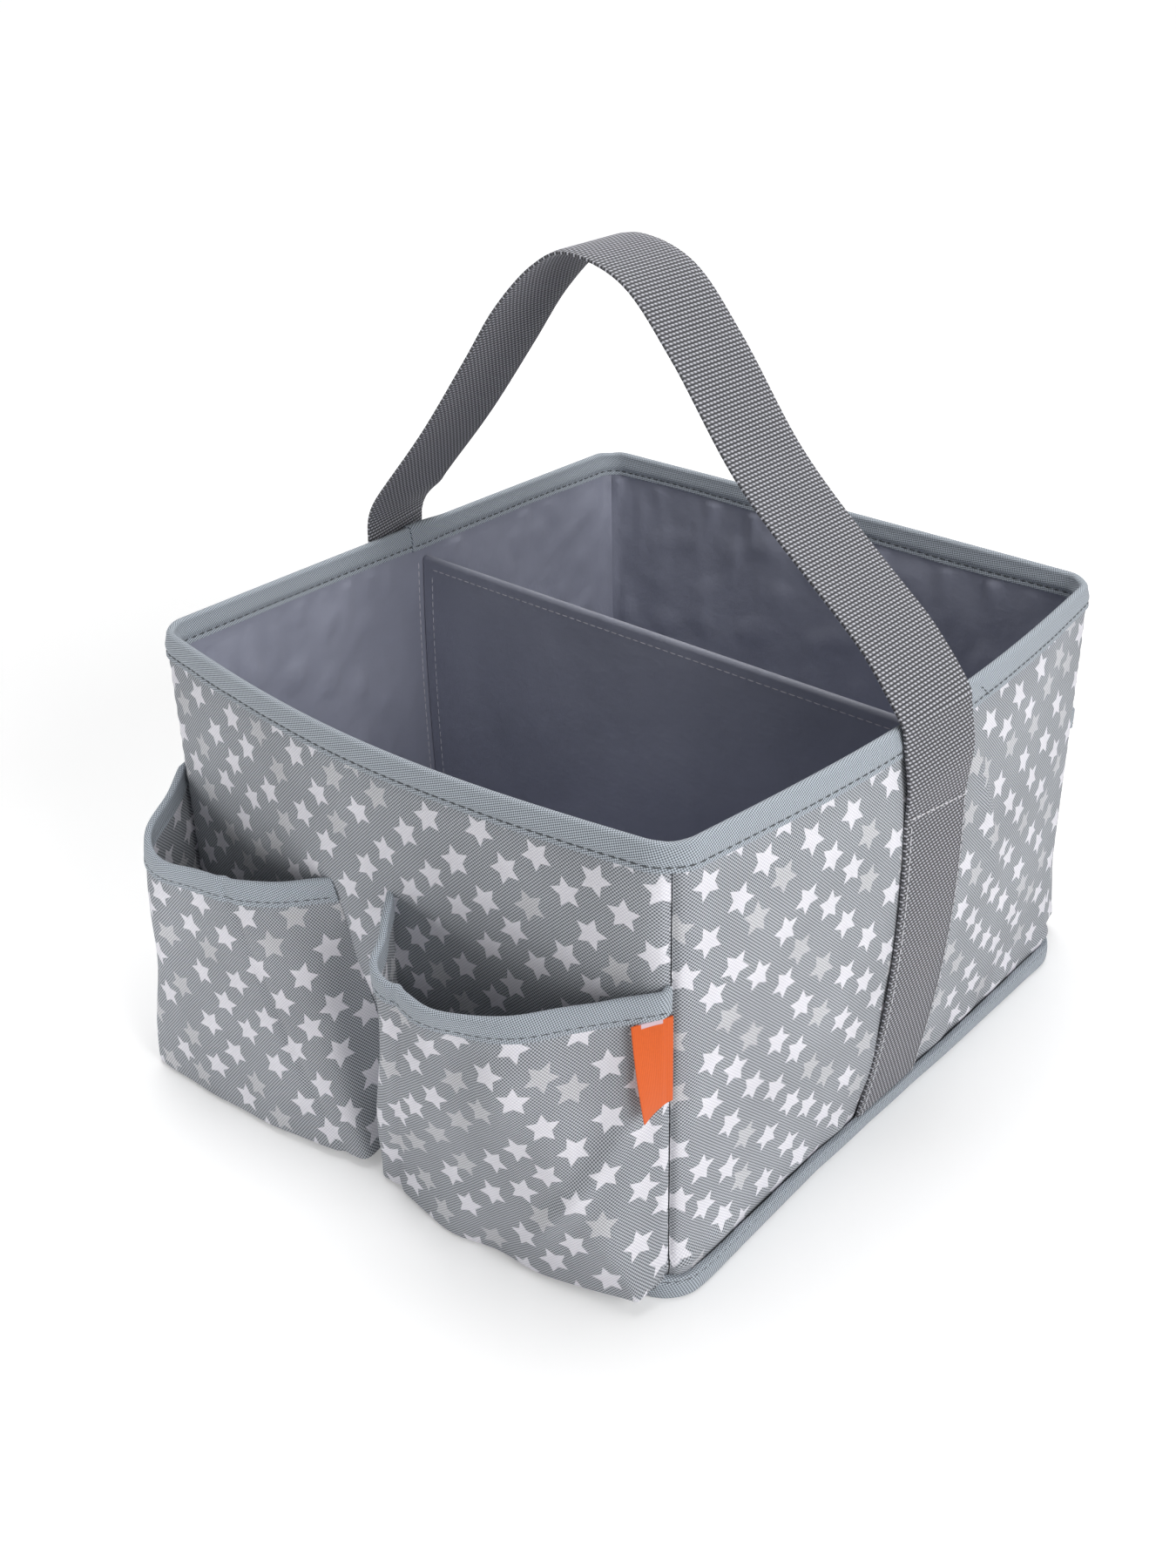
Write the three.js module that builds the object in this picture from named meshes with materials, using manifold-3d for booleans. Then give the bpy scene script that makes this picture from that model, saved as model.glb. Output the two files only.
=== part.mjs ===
// Carrying caddy for nursery things: an open cloth box stiffened with boards, with one sewn divider,
// two bellows pockets on the front, two flat ones on the back, bound edges and one strap of webbing.
// Millimetres, +Z up. The origin is the middle of the underside, and the deep pockets face -Y.

import * as THREE from 'three';
import { mergeVertices } from 'three/addons/utils/BufferGeometryUtils.js';
import Module from 'manifold-3d';

const wasm = await Module();
wasm.setup();

// Body, measured outside from corner seam to corner seam
const bodyWidth = 256;
const bodyDepth = 268;
const bodyHeight = 180;
const cornerRadius = 12;

// How far the middle of each wall stands out: at the rim, and half-way up on top of that
const frontRimBow = 14;
const frontBelly = 3;
const rightRimBow = 10;
const rightBelly = 8;
const backRimBow = 1;
const backBelly = 4;
const leftRimBow = 1;
const leftBelly = 4;

// Layers of a wall from the outside in, and the air between layers that lie on each other
const clothThickness = 1;
const boardThickness = 1.6;
const liningThickness = 0.6;
const layerGap = 0.3;
const seamGap = 0.4;
const boardEndRoom = 3;

// Layers of the floor
const baseClothThickness = 1;
const baseBoardThickness = 3;

// Tape round the rim and the pocket mouths, and the padded welt round the foot
const bindingThickness = 0.8;
const rimBandHeight = 9;
const pocketBandHeight = 8;
const weltHeight = 9;
const weltThickness = 3.4;
const weltRound = 2;
const weltLift = 0.4;

// Divider across the inside, parallel to the front
const dividerOffset = 8;
const dividerHeight = 165;
const dividerBoardThickness = 2;
const dividerBoardInset = 4;
const dividerEndGap = 0.8;

// Pockets: the mouths' heights at the wall and how far they dip in front, the floor's place above the welt
// and the height of the pocket's toe
const frontRightRimHeight = 127;
const frontLeftRimHeight = 119;
const backRimHeight = 120;
const frontMouthDip = 14;
const backMouthDip = 3;
const pocketFloorClear = 1.2;
const frontToeLift = 1;
const backToeLift = 8;

// Pocket outlines at the floor and at the mouth: how far the front corners lie in from the side edges, how
// far they stand out from the wall and how long their rounding is, first at the box's corner, then at the
// pleat beside the middle seam; and the most of each leg that a rounding may take
const frontRightFloor = { lead: 0, depth: 17, round: 2, pleatLead: 6, pleatDepth: 28, pleatRound: 5 };
const frontRightMouth = { lead: 48, depth: 42, round: 22, pleatLead: 34, pleatDepth: 43, pleatRound: 12 };
const frontLeftFloor = { lead: 9, depth: 38, round: 3, pleatLead: -3, pleatDepth: 27, pleatRound: 5 };
const frontLeftMouth = { lead: 24, depth: 41, round: 20, pleatLead: 44, pleatDepth: 28, pleatRound: 16 };
const backFloor = { lead: 4, depth: 20, round: 6, pleatLead: 5, pleatDepth: 17, pleatRound: 8 };
const backMouth = { lead: 20, depth: 15, round: 10, pleatLead: 16, pleatDepth: 15, pleatRound: 9 };
const sideLegShare = 0.9;
const frontLegShare = 0.45;

// Strap of webbing: sewn up both side walls, free above the rim, arched over the mouth
const strapWidth = 40;
const strapThickness = 2;
const strapRamp = 30;
const strapFootLean = 6;
const handleRise = 135;
const rightHandleInset = 22;
const leftHandleInset = 13;
const hingeClearance = 3;
const flexLead = 10;

// The arch's middle line from each hinge point to the top, in shares of the hinge point's x and of the rise
const rightArchShares = [[0.78, 0.17], [0.52, 0.42], [0.285, 0.74], [0.1, 0.94]];
const leftArchShares = [[0.11, 1], [0.25, 0.94], [0.41, 0.78], [0.56, 0.57], [0.78, 0.27]];

// Folded tag sewn into the corner seam beside the right front pocket
const tagReach = 14;
const tagHeight = 34;
const tagThickness = 1.2;
const tagDrop = 0.5;
const tagAngle = 70;
const tagStandOff = 3.2;

// Mesh steps
const straightSteps = 8;
const cornerSteps = 3;
const heightSteps = 6;
const roundSteps = 4;
const pocketSteps = 3;
const strapSteps = 12;
const flexSteps = 8;
const archSteps = 36;
const cutMargin = 12;
const levelTolerance = 1e-4;

const printGrey = new THREE.MeshStandardMaterial({ color: 0x83888b, roughness: 0.85, metalness: 0 });
const liningGrey = new THREE.MeshStandardMaterial({ color: 0x9a9ba6, roughness: 0.6, metalness: 0 });
const tapeGrey = new THREE.MeshStandardMaterial({ color: 0x7d858c, roughness: 0.8, metalness: 0 });
const webbingGrey = new THREE.MeshStandardMaterial({ color: 0x77787c, roughness: 0.75, metalness: 0 });
const tagOrange = new THREE.MeshStandardMaterial({ color: 0xf4701c, roughness: 0.5, metalness: 0 });
const boardGrey = new THREE.MeshStandardMaterial({ color: 0xb9b4a8, roughness: 0.9, metalness: 0 });

const caddy = new THREE.Group();

// Heights and depths that several pieces share
const wallThickness = clothThickness + layerGap + boardThickness + layerGap + liningThickness;
const wallFoot = baseClothThickness + layerGap;
const wallTop = bodyHeight - bindingThickness - layerGap;
const baseBoardTop = wallFoot + baseBoardThickness;
const floorTop = baseBoardTop + layerGap + liningThickness;
const hingeHeight = bodyHeight + strapWidth / 2 + hingeClearance;
const seamTurn = Math.PI / 4;

const front = makeSide(new THREE.Vector2(0, -1), bodyWidth / 2, bodyDepth / 2, frontRimBow, frontBelly);
const right = makeSide(new THREE.Vector2(1, 0), bodyDepth / 2, bodyWidth / 2, rightRimBow, rightBelly);
const back = makeSide(new THREE.Vector2(0, 1), bodyWidth / 2, bodyDepth / 2, backRimBow, backBelly);
const left = makeSide(new THREE.Vector2(-1, 0), bodyDepth / 2, bodyWidth / 2, leftRimBow, leftBelly);
const sides = [front, right, back, left];

// A wall's outward normal, its direction anticlockwise round the box, and its half length and distance
function makeSide(normal, half, reach, rimBow, belly) {
  const tangent = new THREE.Vector2(-normal.y, normal.x);
  return { normal, tangent, half, reach, rimBow, belly };
}

function bowAt(side, z) {
  const height = z / bodyHeight;
  return side.rimBow * height + side.belly * 4 * height * (1 - height);
}

// A place along a wall: where its straight part has got to, how far round the corner, and its share of bow
function makeStation(side, straight, turn) {
  const along = straight + cornerRadius * Math.sin(turn);
  const seamAlong = side.half - cornerRadius + cornerRadius * Math.sin(seamTurn);
  return { side, straight, turn, bowShare: Math.cos((Math.PI / 2) * (along / seamAlong)) };
}

// Stations of a wall's stiff middle, as far as its board reaches
function boardStations(side) {
  const half = side.half - cornerRadius - boardEndRoom;
  return levels(-half, half, straightSteps).map((straight) => makeStation(side, straight, 0));
}

// Stations of a whole wall, round both corners as far as the given turn
function wallStations(side, turn) {
  const half = side.half - cornerRadius;
  const stations = boardStations(side);
  for (let i = 0; i <= cornerSteps; i++) {
    const step = (turn * i) / cornerSteps;
    stations.unshift(makeStation(side, -half, -step));
    stations.push(makeStation(side, half, step));
  }
  return stations;
}

// A point of a wall at a depth inwards from its outer face
function wallPoint(station, depth, z) {
  const { side } = station;
  const radius = cornerRadius - depth;
  const along = station.straight + radius * Math.sin(station.turn);
  const flatOut = side.reach - cornerRadius + radius * Math.cos(station.turn);
  return sidePoint(side, along, flatOut + bowAt(side, z) * station.bowShare, z);
}

function sidePoint(side, along, out, z) {
  const x = side.normal.x * out + side.tangent.x * along;
  const y = side.normal.y * out + side.tangent.y * along;
  return new THREE.Vector3(x, y, z);
}

// Triangles that close a ring of points, found in the plane that fits the ring
function capFaces(ring) {
  const normal = new THREE.Vector3();
  ring.forEach((point, i) => {
    const next = ring[(i + 1) % ring.length];
    normal.add(new THREE.Vector3().crossVectors(point, next));
  });
  normal.normalize();
  const flat = new THREE.Quaternion().setFromUnitVectors(normal, new THREE.Vector3(0, 0, 1));
  const outline = ring.map((point) => {
    const turned = point.clone().applyQuaternion(flat);
    return new THREE.Vector2(turned.x, turned.y);
  });
  return THREE.ShapeUtils.triangulateShape(outline, []);
}

// A closed solid through a row of rings with as many points each, capped at its ends or joined in a loop.
// Every four-cornered patch is split from low to high, so that nested sheets bend alike.
function loft(rings, isLoop = false) {
  const count = rings[0].length;
  const positions = rings.flat().flatMap((point) => point.toArray());
  const spans = isLoop ? rings.length : rings.length - 1;
  const faces = [];
  for (let i = 0; i < spans; i++) {
    const here = i * count;
    const there = ((i + 1) % rings.length) * count;
    for (let j = 0; j < count; j++) {
      const k = (j + 1) % count;
      if (rings[i][k].z > rings[i][j].z - levelTolerance) {
        faces.push([here + j, here + k, there + k]);
        faces.push([here + j, there + k, there + j]);
      } else {
        faces.push([here + j, here + k, there + j]);
        faces.push([here + k, there + k, there + j]);
      }
    }
  }
  if (!isLoop) {
    const last = (rings.length - 1) * count;
    capFaces(rings[0]).forEach(([a, b, c]) => faces.push([c, b, a]));
    capFaces(rings[rings.length - 1]).forEach(([a, b, c]) => faces.push([last + a, last + b, last + c]));
  }
  return facingOut(positions, faces);
}

// Geometry whose faces all point out, whichever way round the rings ran
function facingOut(positions, faces) {
  const corner = (index) => new THREE.Vector3().fromArray(positions, index * 3);
  let volume = 0;
  for (const [a, b, c] of faces) {
    volume += corner(a).dot(corner(b).cross(corner(c)));
  }
  const order = volume < 0 ? faces.map(([a, b, c]) => [c, b, a]) : faces;
  const geometry = new THREE.BufferGeometry();
  geometry.setAttribute('position', new THREE.Float32BufferAttribute(positions, 3));
  geometry.setIndex(order.flat());
  return geometry;
}

function toSolid(geometry) {
  const merged = mergeVertices(geometry);
  const mesh = new wasm.Mesh({
    numProp: 3,
    vertProperties: merged.attributes.position.array,
    triVerts: new Uint32Array(merged.index.array),
  });
  return new wasm.Manifold(mesh);
}

function toGeometry(solid) {
  const mesh = solid.getMesh();
  const geometry = new THREE.BufferGeometry();
  geometry.setAttribute('position', new THREE.Float32BufferAttribute(mesh.vertProperties, 3));
  geometry.setIndex(Array.from(mesh.triVerts));
  return geometry;
}

function addPiece(name, geometry, material) {
  geometry.computeVertexNormals();
  const mesh = new THREE.Mesh(geometry, material);
  mesh.name = name;
  caddy.add(mesh);
  return mesh;
}

function levels(low, high, steps) {
  return Array.from({ length: steps + 1 }, (_, i) => low + ((high - low) * i) / steps);
}

// One layer of a wall between two depths: a thin sheet bent to the wall's bow, with a level at the welt top
function wallSheet(stations, nearDepth, farDepth) {
  const heights = [wallFoot, ...levels(weltHeight, wallTop, heightSteps)];
  const rings = stations.map((station) => {
    const outside = heights.map((z) => wallPoint(station, nearDepth, z));
    const inside = heights.map((z) => wallPoint(station, farDepth, z)).reverse();
    return outside.concat(inside);
  });
  return loft(rings);
}

function makeWalls() {
  const seamInset = seamGap / 2 / (cornerRadius - wallThickness);
  const boardDepth = clothThickness + layerGap;
  const liningDepth = boardDepth + boardThickness + layerGap;
  const wallNames = ['front', 'right', 'back', 'left'];
  sides.forEach((side, i) => {
    const whole = wallStations(side, seamTurn - seamInset);
    const flat = boardStations(side);
    const cloth = wallSheet(whole, 0, clothThickness);
    const board = wallSheet(flat, boardDepth, boardDepth + boardThickness);
    const lining = wallSheet(whole, liningDepth, wallThickness);
    addPiece(`${wallNames[i]}_outer_panel`, cloth, printGrey);
    addPiece(`${wallNames[i]}_board`, board, boardGrey);
    addPiece(`${wallNames[i]}_lining`, lining, liningGrey);
  });
}

// Every station round the box once, corner to corner
function roundStations() {
  return sides.flatMap((side) => wallStations(side, seamTurn).slice(0, -1));
}

// A solid slab of the box's own plan, drawn in by a depth, through the given heights
function bodyBlock(depth, heights) {
  const stations = roundStations();
  return loft(heights.map((z) => stations.map((station) => wallPoint(station, depth, z))));
}

function makeFloor() {
  const inset = wallThickness + layerGap;
  addPiece('base_outer_panel', bodyBlock(0, [0, baseClothThickness]), printGrey);
  addPiece('base_board', bodyBlock(inset, [wallFoot, baseBoardTop]), boardGrey);
  addPiece('floor_lining', bodyBlock(inset, [baseBoardTop + layerGap, floorTop]), liningGrey);
}

// A ring that carries one section, given as depth and height, all round the box
function bodyRing(section) {
  const rings = roundStations().map((station) => section.map(([depth, z]) => wallPoint(station, depth, z)));
  return loft(rings, true);
}

function makeRimBinding() {
  const inner = wallThickness + layerGap;
  const foot = bodyHeight - rimBandHeight;
  const slotTop = wallTop + layerGap;
  const shoulder = bodyHeight - bindingThickness / 2;
  const section = [
    [-layerGap - bindingThickness, foot],
    [-layerGap, foot],
    [-layerGap, slotTop],
    [inner, slotTop],
    [inner, foot],
    [inner + bindingThickness, foot],
    [inner + bindingThickness, shoulder],
    [inner, bodyHeight],
    [-layerGap, bodyHeight],
    [-layerGap - bindingThickness, shoulder],
  ];
  addPiece('rim_binding', bodyRing(section), tapeGrey);
}

function makeWelt() {
  const outer = -layerGap - weltThickness;
  const section = [
    [-layerGap, weltLift],
    [-layerGap, weltHeight],
    [outer + weltRound, weltHeight],
    [outer, weltHeight - weltRound],
    [outer, weltLift + weltRound],
    [outer + weltRound, weltLift],
  ];
  addPiece('base_welt', bodyRing(section), tapeGrey);
}

// A sheet folded over the top edge of the divider's board, reaching from lining to lining
function makeDivider() {
  const half = dividerBoardThickness / 2;
  const innerHalf = half + layerGap;
  const outerHalf = innerHalf + liningThickness;
  const foot = floorTop + layerGap;
  const boardTop = dividerHeight - liningThickness - layerGap;
  const up = levels(foot, dividerHeight, heightSteps);
  const down = levels(boardTop + layerGap, foot, heightSteps);
  const foldSection = [
    ...up.map((z) => [-outerHalf, z]),
    ...up.toReversed().map((z) => [outerHalf, z]),
    ...down.toReversed().map((z) => [innerHalf, z]),
    ...down.map((z) => [-innerHalf, z]),
  ];
  const boardHeights = levels(foot, boardTop, heightSteps);
  const boardSection = [
    ...boardHeights.map((z) => [-half, z]),
    ...boardHeights.toReversed().map((z) => [half, z]),
  ];
  addPiece('divider_cover', crossSheet(foldSection, dividerEndGap), liningGrey);
  addPiece('divider_board', crossSheet(boardSection, dividerBoardInset), boardGrey);
}

// A section of y offsets and heights carried across the box from wall to wall
function crossSheet(section, endGap) {
  const leftStation = makeStation(left, -dividerOffset, 0);
  const rightStation = makeStation(right, dividerOffset, 0);
  const ends = [leftStation, rightStation].map((station) => section.map(([offset, z]) => {
    const end = wallPoint(station, wallThickness + endGap, z);
    return new THREE.Vector3(end.x, dividerOffset + offset, z);
  }));
  return loft(ends);
}

// Pockets: plan outlines in a wall's own direction, from the corner seam to the middle seam
const pocketOuterAlong = bodyWidth / 2 - cornerRadius * (1 - Math.sin(seamTurn));
const pocketInnerAlong = layerGap / 2 + layerGap + bindingThickness;
const pocketFloorHeight = weltHeight + pocketFloorClear;

const pockets = [
  makePocket('front_right_pocket', front, 1, frontRightRimHeight, frontRightFloor, frontRightMouth),
  makePocket('front_left_pocket', front, -1, frontLeftRimHeight, frontLeftFloor, frontLeftMouth),
  makePocket('back_left_pocket', back, 1, backRimHeight, backFloor, backMouth),
  makePocket('back_right_pocket', back, -1, backRimHeight, backFloor, backMouth),
];

function makePocket(name, side, hand, rimHeight, floor, mouth) {
  const isFront = side === front;
  return {
    name,
    side,
    hand,
    rimHeight,
    floor,
    mouth,
    mouthReach: Math.max(mouth.depth, mouth.pleatDepth),
    floorReach: Math.max(floor.depth, floor.pleatDepth),
    mouthDip: isFront ? frontMouthDip : backMouthDip,
    floorDrop: pocketFloorHeight - (isFront ? frontToeLift : backToeLift),
  };
}

// One corner of an outline, rounded from the leg before it to the leg after it
function roundedCorner(path, before, corner, after, round) {
  const inLeg = Math.min(round, corner.distanceTo(before) * sideLegShare);
  const outLeg = Math.min(round, corner.distanceTo(after) * frontLegShare);
  const start = corner.clone().lerp(before, inLeg / corner.distanceTo(before));
  const end = corner.clone().lerp(after, outLeg / corner.distanceTo(after));
  path.lineTo(start.x, start.y);
  path.quadraticCurveTo(corner.x, corner.y, end.x, end.y);
}

// A pocket's outline at a level, from 0 at its floor to 1 at its mouth, drawn in by an inset
function pocketOutline(pocket, level, inset) {
  const between = (size) => THREE.MathUtils.lerp(pocket.floor[size], pocket.mouth[size], level);
  const start = new THREE.Vector2(pocketOuterAlong - inset, 0);
  const end = new THREE.Vector2(pocketInnerAlong + inset, 0);
  const outerCorner = new THREE.Vector2(start.x - between('lead'), between('depth') - inset);
  const innerCorner = new THREE.Vector2(end.x + between('pleatLead'), between('pleatDepth') - inset);
  const path = new THREE.Path();
  path.moveTo(start.x, -cornerRadius);
  path.lineTo(start.x, start.y);
  roundedCorner(path, start, outerCorner, innerCorner, between('round'));
  roundedCorner(path, end, innerCorner, outerCorner, between('pleatRound'));
  return reversedTail(path, end);
}

// The second rounding was drawn from the middle seam outwards, so its half of the points is turned round
function reversedTail(path, end) {
  const points = path.getPoints(roundSteps);
  const tailLength = roundSteps + 1;
  const head = points.slice(0, points.length - tailLength);
  const tail = points.slice(points.length - tailLength).reverse();
  return [...head, ...tail, end.clone(), new THREE.Vector2(end.x, -cornerRadius)];
}

// A ring of the pocket at a level, lifted by some height; floor and mouth are slanted planes
function pocketRing(pocket, inset, level, lift) {
  return pocketOutline(pocket, level, inset).map((point) => {
    const floorZ = pocketFloorHeight - pocket.floorDrop * (point.y / pocket.floorReach);
    const mouthZ = pocket.rimHeight - pocket.mouthDip * (point.y / pocket.mouthReach);
    const z = THREE.MathUtils.lerp(floorZ, mouthZ, level) + lift;
    return sidePoint(pocket.side, pocket.hand * point.x, pocket.side.reach + point.y, z);
  });
}

function pocketBlock(pocket, inset, stops) {
  return toSolid(loft(stops.map(([level, lift]) => pocketRing(pocket, inset, level, lift))));
}

function makePockets() {
  const bodyHeights = levels(-cutMargin, bodyHeight + cutMargin, heightSteps * 2);
  const bodyRoom = toSolid(bodyBlock(-layerGap, bodyHeights));
  const tapeReach = layerGap + bindingThickness;
  const above = [1, cutMargin];
  for (const pocket of pockets) {
    const bandLevel = 1 - pocketBandHeight / (pocket.rimHeight - pocketFloorHeight);
    const clothLevels = [...levels(0, bandLevel, pocketSteps).slice(1), 1];
    const clothStops = clothLevels.map((level) => [level, 0]);
    const bandStops = [[bandLevel, 0], [1, 0]];
    const below = [bandLevel, -cutMargin];
    const outside = pocketBlock(pocket, 0, [[0, 0], ...clothStops]);
    const inside = pocketBlock(pocket, clothThickness, [[0, clothThickness], ...clothStops, above]);
    const shell = outside.subtract(inside).subtract(bodyRoom);
    addPiece(pocket.name, toGeometry(shell), printGrey);

    const tapeOutside = pocketBlock(pocket, -tapeReach, [...bandStops, [1, tapeReach]]);
    const tapeInside = pocketBlock(pocket, clothThickness + tapeReach, [below, ...bandStops, above]);
    const slotOutside = pocketBlock(pocket, -layerGap, [below, ...bandStops, [1, layerGap]]);
    const slotInside = pocketBlock(pocket, clothThickness + layerGap, [below, ...bandStops, above]);
    const slot = slotOutside.subtract(slotInside);
    const tape = tapeOutside.subtract(tapeInside).subtract(slot).subtract(bodyRoom);
    addPiece(`${pocket.name}_binding`, toGeometry(tape), tapeGrey);
  }
}

// Strap: middle line as points of x and height, with how far it lies to the front of the box's middle
function strapRing(point, tangent, forward = 0) {
  const across = new THREE.Vector2(-tangent.y, tangent.x).normalize().multiplyScalar(strapThickness / 2);
  const near = point.clone().sub(across);
  const far = point.clone().add(across);
  const frontEdge = -strapWidth / 2 - forward;
  const backEdge = strapWidth / 2 - forward;
  return [
    new THREE.Vector3(near.x, frontEdge, near.y),
    new THREE.Vector3(far.x, frontEdge, far.y),
    new THREE.Vector3(far.x, backEdge, far.y),
    new THREE.Vector3(near.x, backEdge, near.y),
  ];
}

function strapAlong(curve, steps) {
  return loft(levels(0, 1, steps).map((t) => strapRing(curve.getPoint(t), curve.getTangent(t))));
}

// How far out the strap's middle line lies on a side wall: on the cloth low down, past the tape at the rim
function strapOut(side, z) {
  const rampTop = bodyHeight - rimBandHeight - layerGap;
  const lift = THREE.MathUtils.smoothstep(z, rampTop - strapRamp, rampTop);
  const clear = layerGap + lift * (bindingThickness + layerGap);
  return side.reach + bowAt(side, z) + clear + strapThickness / 2;
}

function hingePoint(side) {
  const inset = side === right ? rightHandleInset : leftHandleInset;
  return new THREE.Vector2(side.normal.x * (strapOut(side, bodyHeight) - inset), hingeHeight);
}

function rimPoint(side, z) {
  return new THREE.Vector2(side.normal.x * strapOut(side, z), z);
}

// A leg stands on the welt; its foot may lean towards the front
function makeSewnLeg(name, side, lean) {
  const foot = weltHeight + layerGap;
  const upright = new THREE.Vector2(0, 1);
  const rings = levels(foot, bodyHeight, strapSteps).map((z) => {
    const forward = (lean * (bodyHeight - z)) / (bodyHeight - foot);
    return strapRing(rimPoint(side, z), upright, forward);
  });
  addPiece(name, loft(rings), webbingGrey);
}

// The free stretch from the rim to the swinging loop, rolled over towards the middle
function makeFlexLeg(name, side, loopTangent) {
  const foot = rimPoint(side, bodyHeight + layerGap);
  const top = hingePoint(side).addScaledVector(loopTangent, -layerGap);
  const curve = new THREE.CubicBezierCurve(
    foot,
    new THREE.Vector2(foot.x, foot.y + flexLead),
    top.clone().addScaledVector(loopTangent, -flexLead),
    top,
  );
  addPiece(name, strapAlong(curve, flexSteps), webbingGrey);
}

// The loop rises at a slant from both hinge points and turns over at the top, a little left of the middle
function makeHandle() {
  const rightFoot = hingePoint(right);
  const leftFoot = hingePoint(left);
  const loopRise = bodyHeight + handleRise - hingeHeight;
  const along = (foot) => ([span, rise]) => new THREE.Vector2(foot.x * span, hingeHeight + loopRise * rise);
  const curve = new THREE.SplineCurve([
    rightFoot,
    ...rightArchShares.map(along(rightFoot)),
    ...leftArchShares.map(along(leftFoot)),
    leftFoot,
  ]);
  addPiece('handle_loop', strapAlong(curve, archSteps), webbingGrey);
  makeSewnLeg('strap_sewn_right', right, strapFootLean);
  makeSewnLeg('strap_sewn_left', left, 0);
  makeFlexLeg('strap_flex_right', right, curve.getTangent(0));
  makeFlexLeg('strap_flex_left', left, curve.getTangent(1).negate());
}

// The tag swings about the corner seam; at rest it lies along the slack side of the pocket
function makeTag() {
  const middle = frontRightRimHeight - pocketBandHeight - tagDrop - tagHeight / 2;
  const corner = makeStation(front, front.half - cornerRadius, seamTurn);
  const seam = wallPoint(corner, -tagStandOff, middle);
  const geometry = new THREE.BoxGeometry(tagReach, tagThickness, tagHeight);
  geometry.translate(-tagReach / 2, 0, 0);
  const tag = addPiece('side_tag', geometry, tagOrange);
  tag.position.copy(seam);
  tag.rotation.z = THREE.MathUtils.degToRad(tagAngle);
}

makeWalls();
makeFloor();
makeRimBinding();
makeWelt();
makeDivider();
makePockets();
makeHandle();
makeTag();

export default caddy;
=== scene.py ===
import bpy
import math
import numpy as np
from mathutils import Matrix, Vector


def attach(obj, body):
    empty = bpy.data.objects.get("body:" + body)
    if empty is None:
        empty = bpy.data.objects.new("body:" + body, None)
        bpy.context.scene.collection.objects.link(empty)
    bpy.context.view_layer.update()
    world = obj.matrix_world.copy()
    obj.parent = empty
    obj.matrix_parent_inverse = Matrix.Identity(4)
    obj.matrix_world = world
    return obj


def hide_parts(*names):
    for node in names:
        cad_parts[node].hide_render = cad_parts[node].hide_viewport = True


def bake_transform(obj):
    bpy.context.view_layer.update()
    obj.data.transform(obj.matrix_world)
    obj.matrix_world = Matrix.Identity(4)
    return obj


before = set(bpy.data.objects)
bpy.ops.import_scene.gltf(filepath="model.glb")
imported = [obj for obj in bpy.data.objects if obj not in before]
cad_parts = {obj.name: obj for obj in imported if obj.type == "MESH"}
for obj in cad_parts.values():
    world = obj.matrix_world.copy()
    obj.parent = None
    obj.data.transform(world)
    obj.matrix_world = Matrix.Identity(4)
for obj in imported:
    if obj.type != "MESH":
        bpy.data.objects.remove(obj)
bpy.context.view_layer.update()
print("frame loaded with", len(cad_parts), "nodes")

# the box that all the cloth is laid on, in metres
box = dict(
    width=0.256, depth=0.268, height=0.180, corner=0.012,
    wallFoot=0.0013, wallTop=0.1760, floorTop=0.0052, smoothAngle=math.radians(50),
)


def boxSide(normal, half, reach, rimBow, belly):
    return {"normal": normal, "tangent": (-normal[1], normal[0]), "half": half, "reach": reach,
            "rimBow": rimBow, "belly": belly}


sides = {
    "front": boxSide((0, -1), box["width"] / 2, box["depth"] / 2, 0.014, 0.003),
    "right": boxSide((1, 0), box["depth"] / 2, box["width"] / 2, 0.010, 0.008),
    "back": boxSide((0, 1), box["width"] / 2, box["depth"] / 2, 0.001, 0.004),
    "left": boxSide((-1, 0), box["depth"] / 2, box["width"] / 2, 0.001, 0.004),
}


def smooth(value, low, high):
    share = np.clip((value - low) / (high - low), 0, 1)
    return share * share * (3 - 2 * share)


# up to 1 over the first two marks and back to 0 over the last two
def within(value, marks):
    return smooth(value, marks[0], marks[1]) * smooth(-value, -marks[3], -marks[2])


def hump(value, middle, width):
    return np.exp(-((value - middle) / width) ** 2)


def unit(vectors):
    return vectors / np.maximum(np.linalg.norm(vectors, axis=-1, keepdims=True), 1e-12)


# how far along a bent line each of its points lies
def runLength(first, second):
    return np.concatenate([[0], np.cumsum(np.hypot(np.diff(first), np.diff(second)))])


# a few crossing waves with fixed phases, about -1 to 1, for slack cloth
waves = dict(count=8, shortest=0.6, range=0.9, phases=6.3, level=3.5)


def ripple(u, v, span, seed):
    rng = np.random.RandomState(seed)
    total = 0
    for _ in range(waves["count"]):
        turn, phase, stretch = rng.rand(3)
        pitch = span * (waves["shortest"] + waves["range"] * stretch)
        heading = 2 * np.pi * turn
        far = u * np.cos(heading) + v * np.sin(heading)
        total = total + np.sin(far * 2 * np.pi / pitch + phase * waves["phases"])
    return total / waves["level"]


# the same waves raised by a level and cut off at 0, where the cloth lies flat
def fullness(u, v, span, seed, level=0.0, share=1.0, most=1.2):
    return np.clip(level + share * ripple(u, v, span, seed), 0, most)


def bowAt(side, z):
    high = z / box["height"]
    return side["rimBow"] * high + side["belly"] * 4 * high * (1 - high)


def bowShare(side, along):
    seam = side["half"] - box["corner"] * (1 - math.sin(math.pi / 4))
    return np.cos(np.pi / 2 * np.clip(along / seam, -1, 1))


# half of a wall's run from its middle to the corner seam, half-way round the corner
def halfRun(side):
    return side["half"] - box["corner"] + box["corner"] * math.pi / 4


def sideSpots(side, along, out, z):
    nx, ny = side["normal"]
    tx, ty = side["tangent"]
    along, out, z = np.broadcast_arrays(along, out, z)
    return np.stack([nx * out + tx * along, ny * out + ty * along, z], -1)


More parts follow.
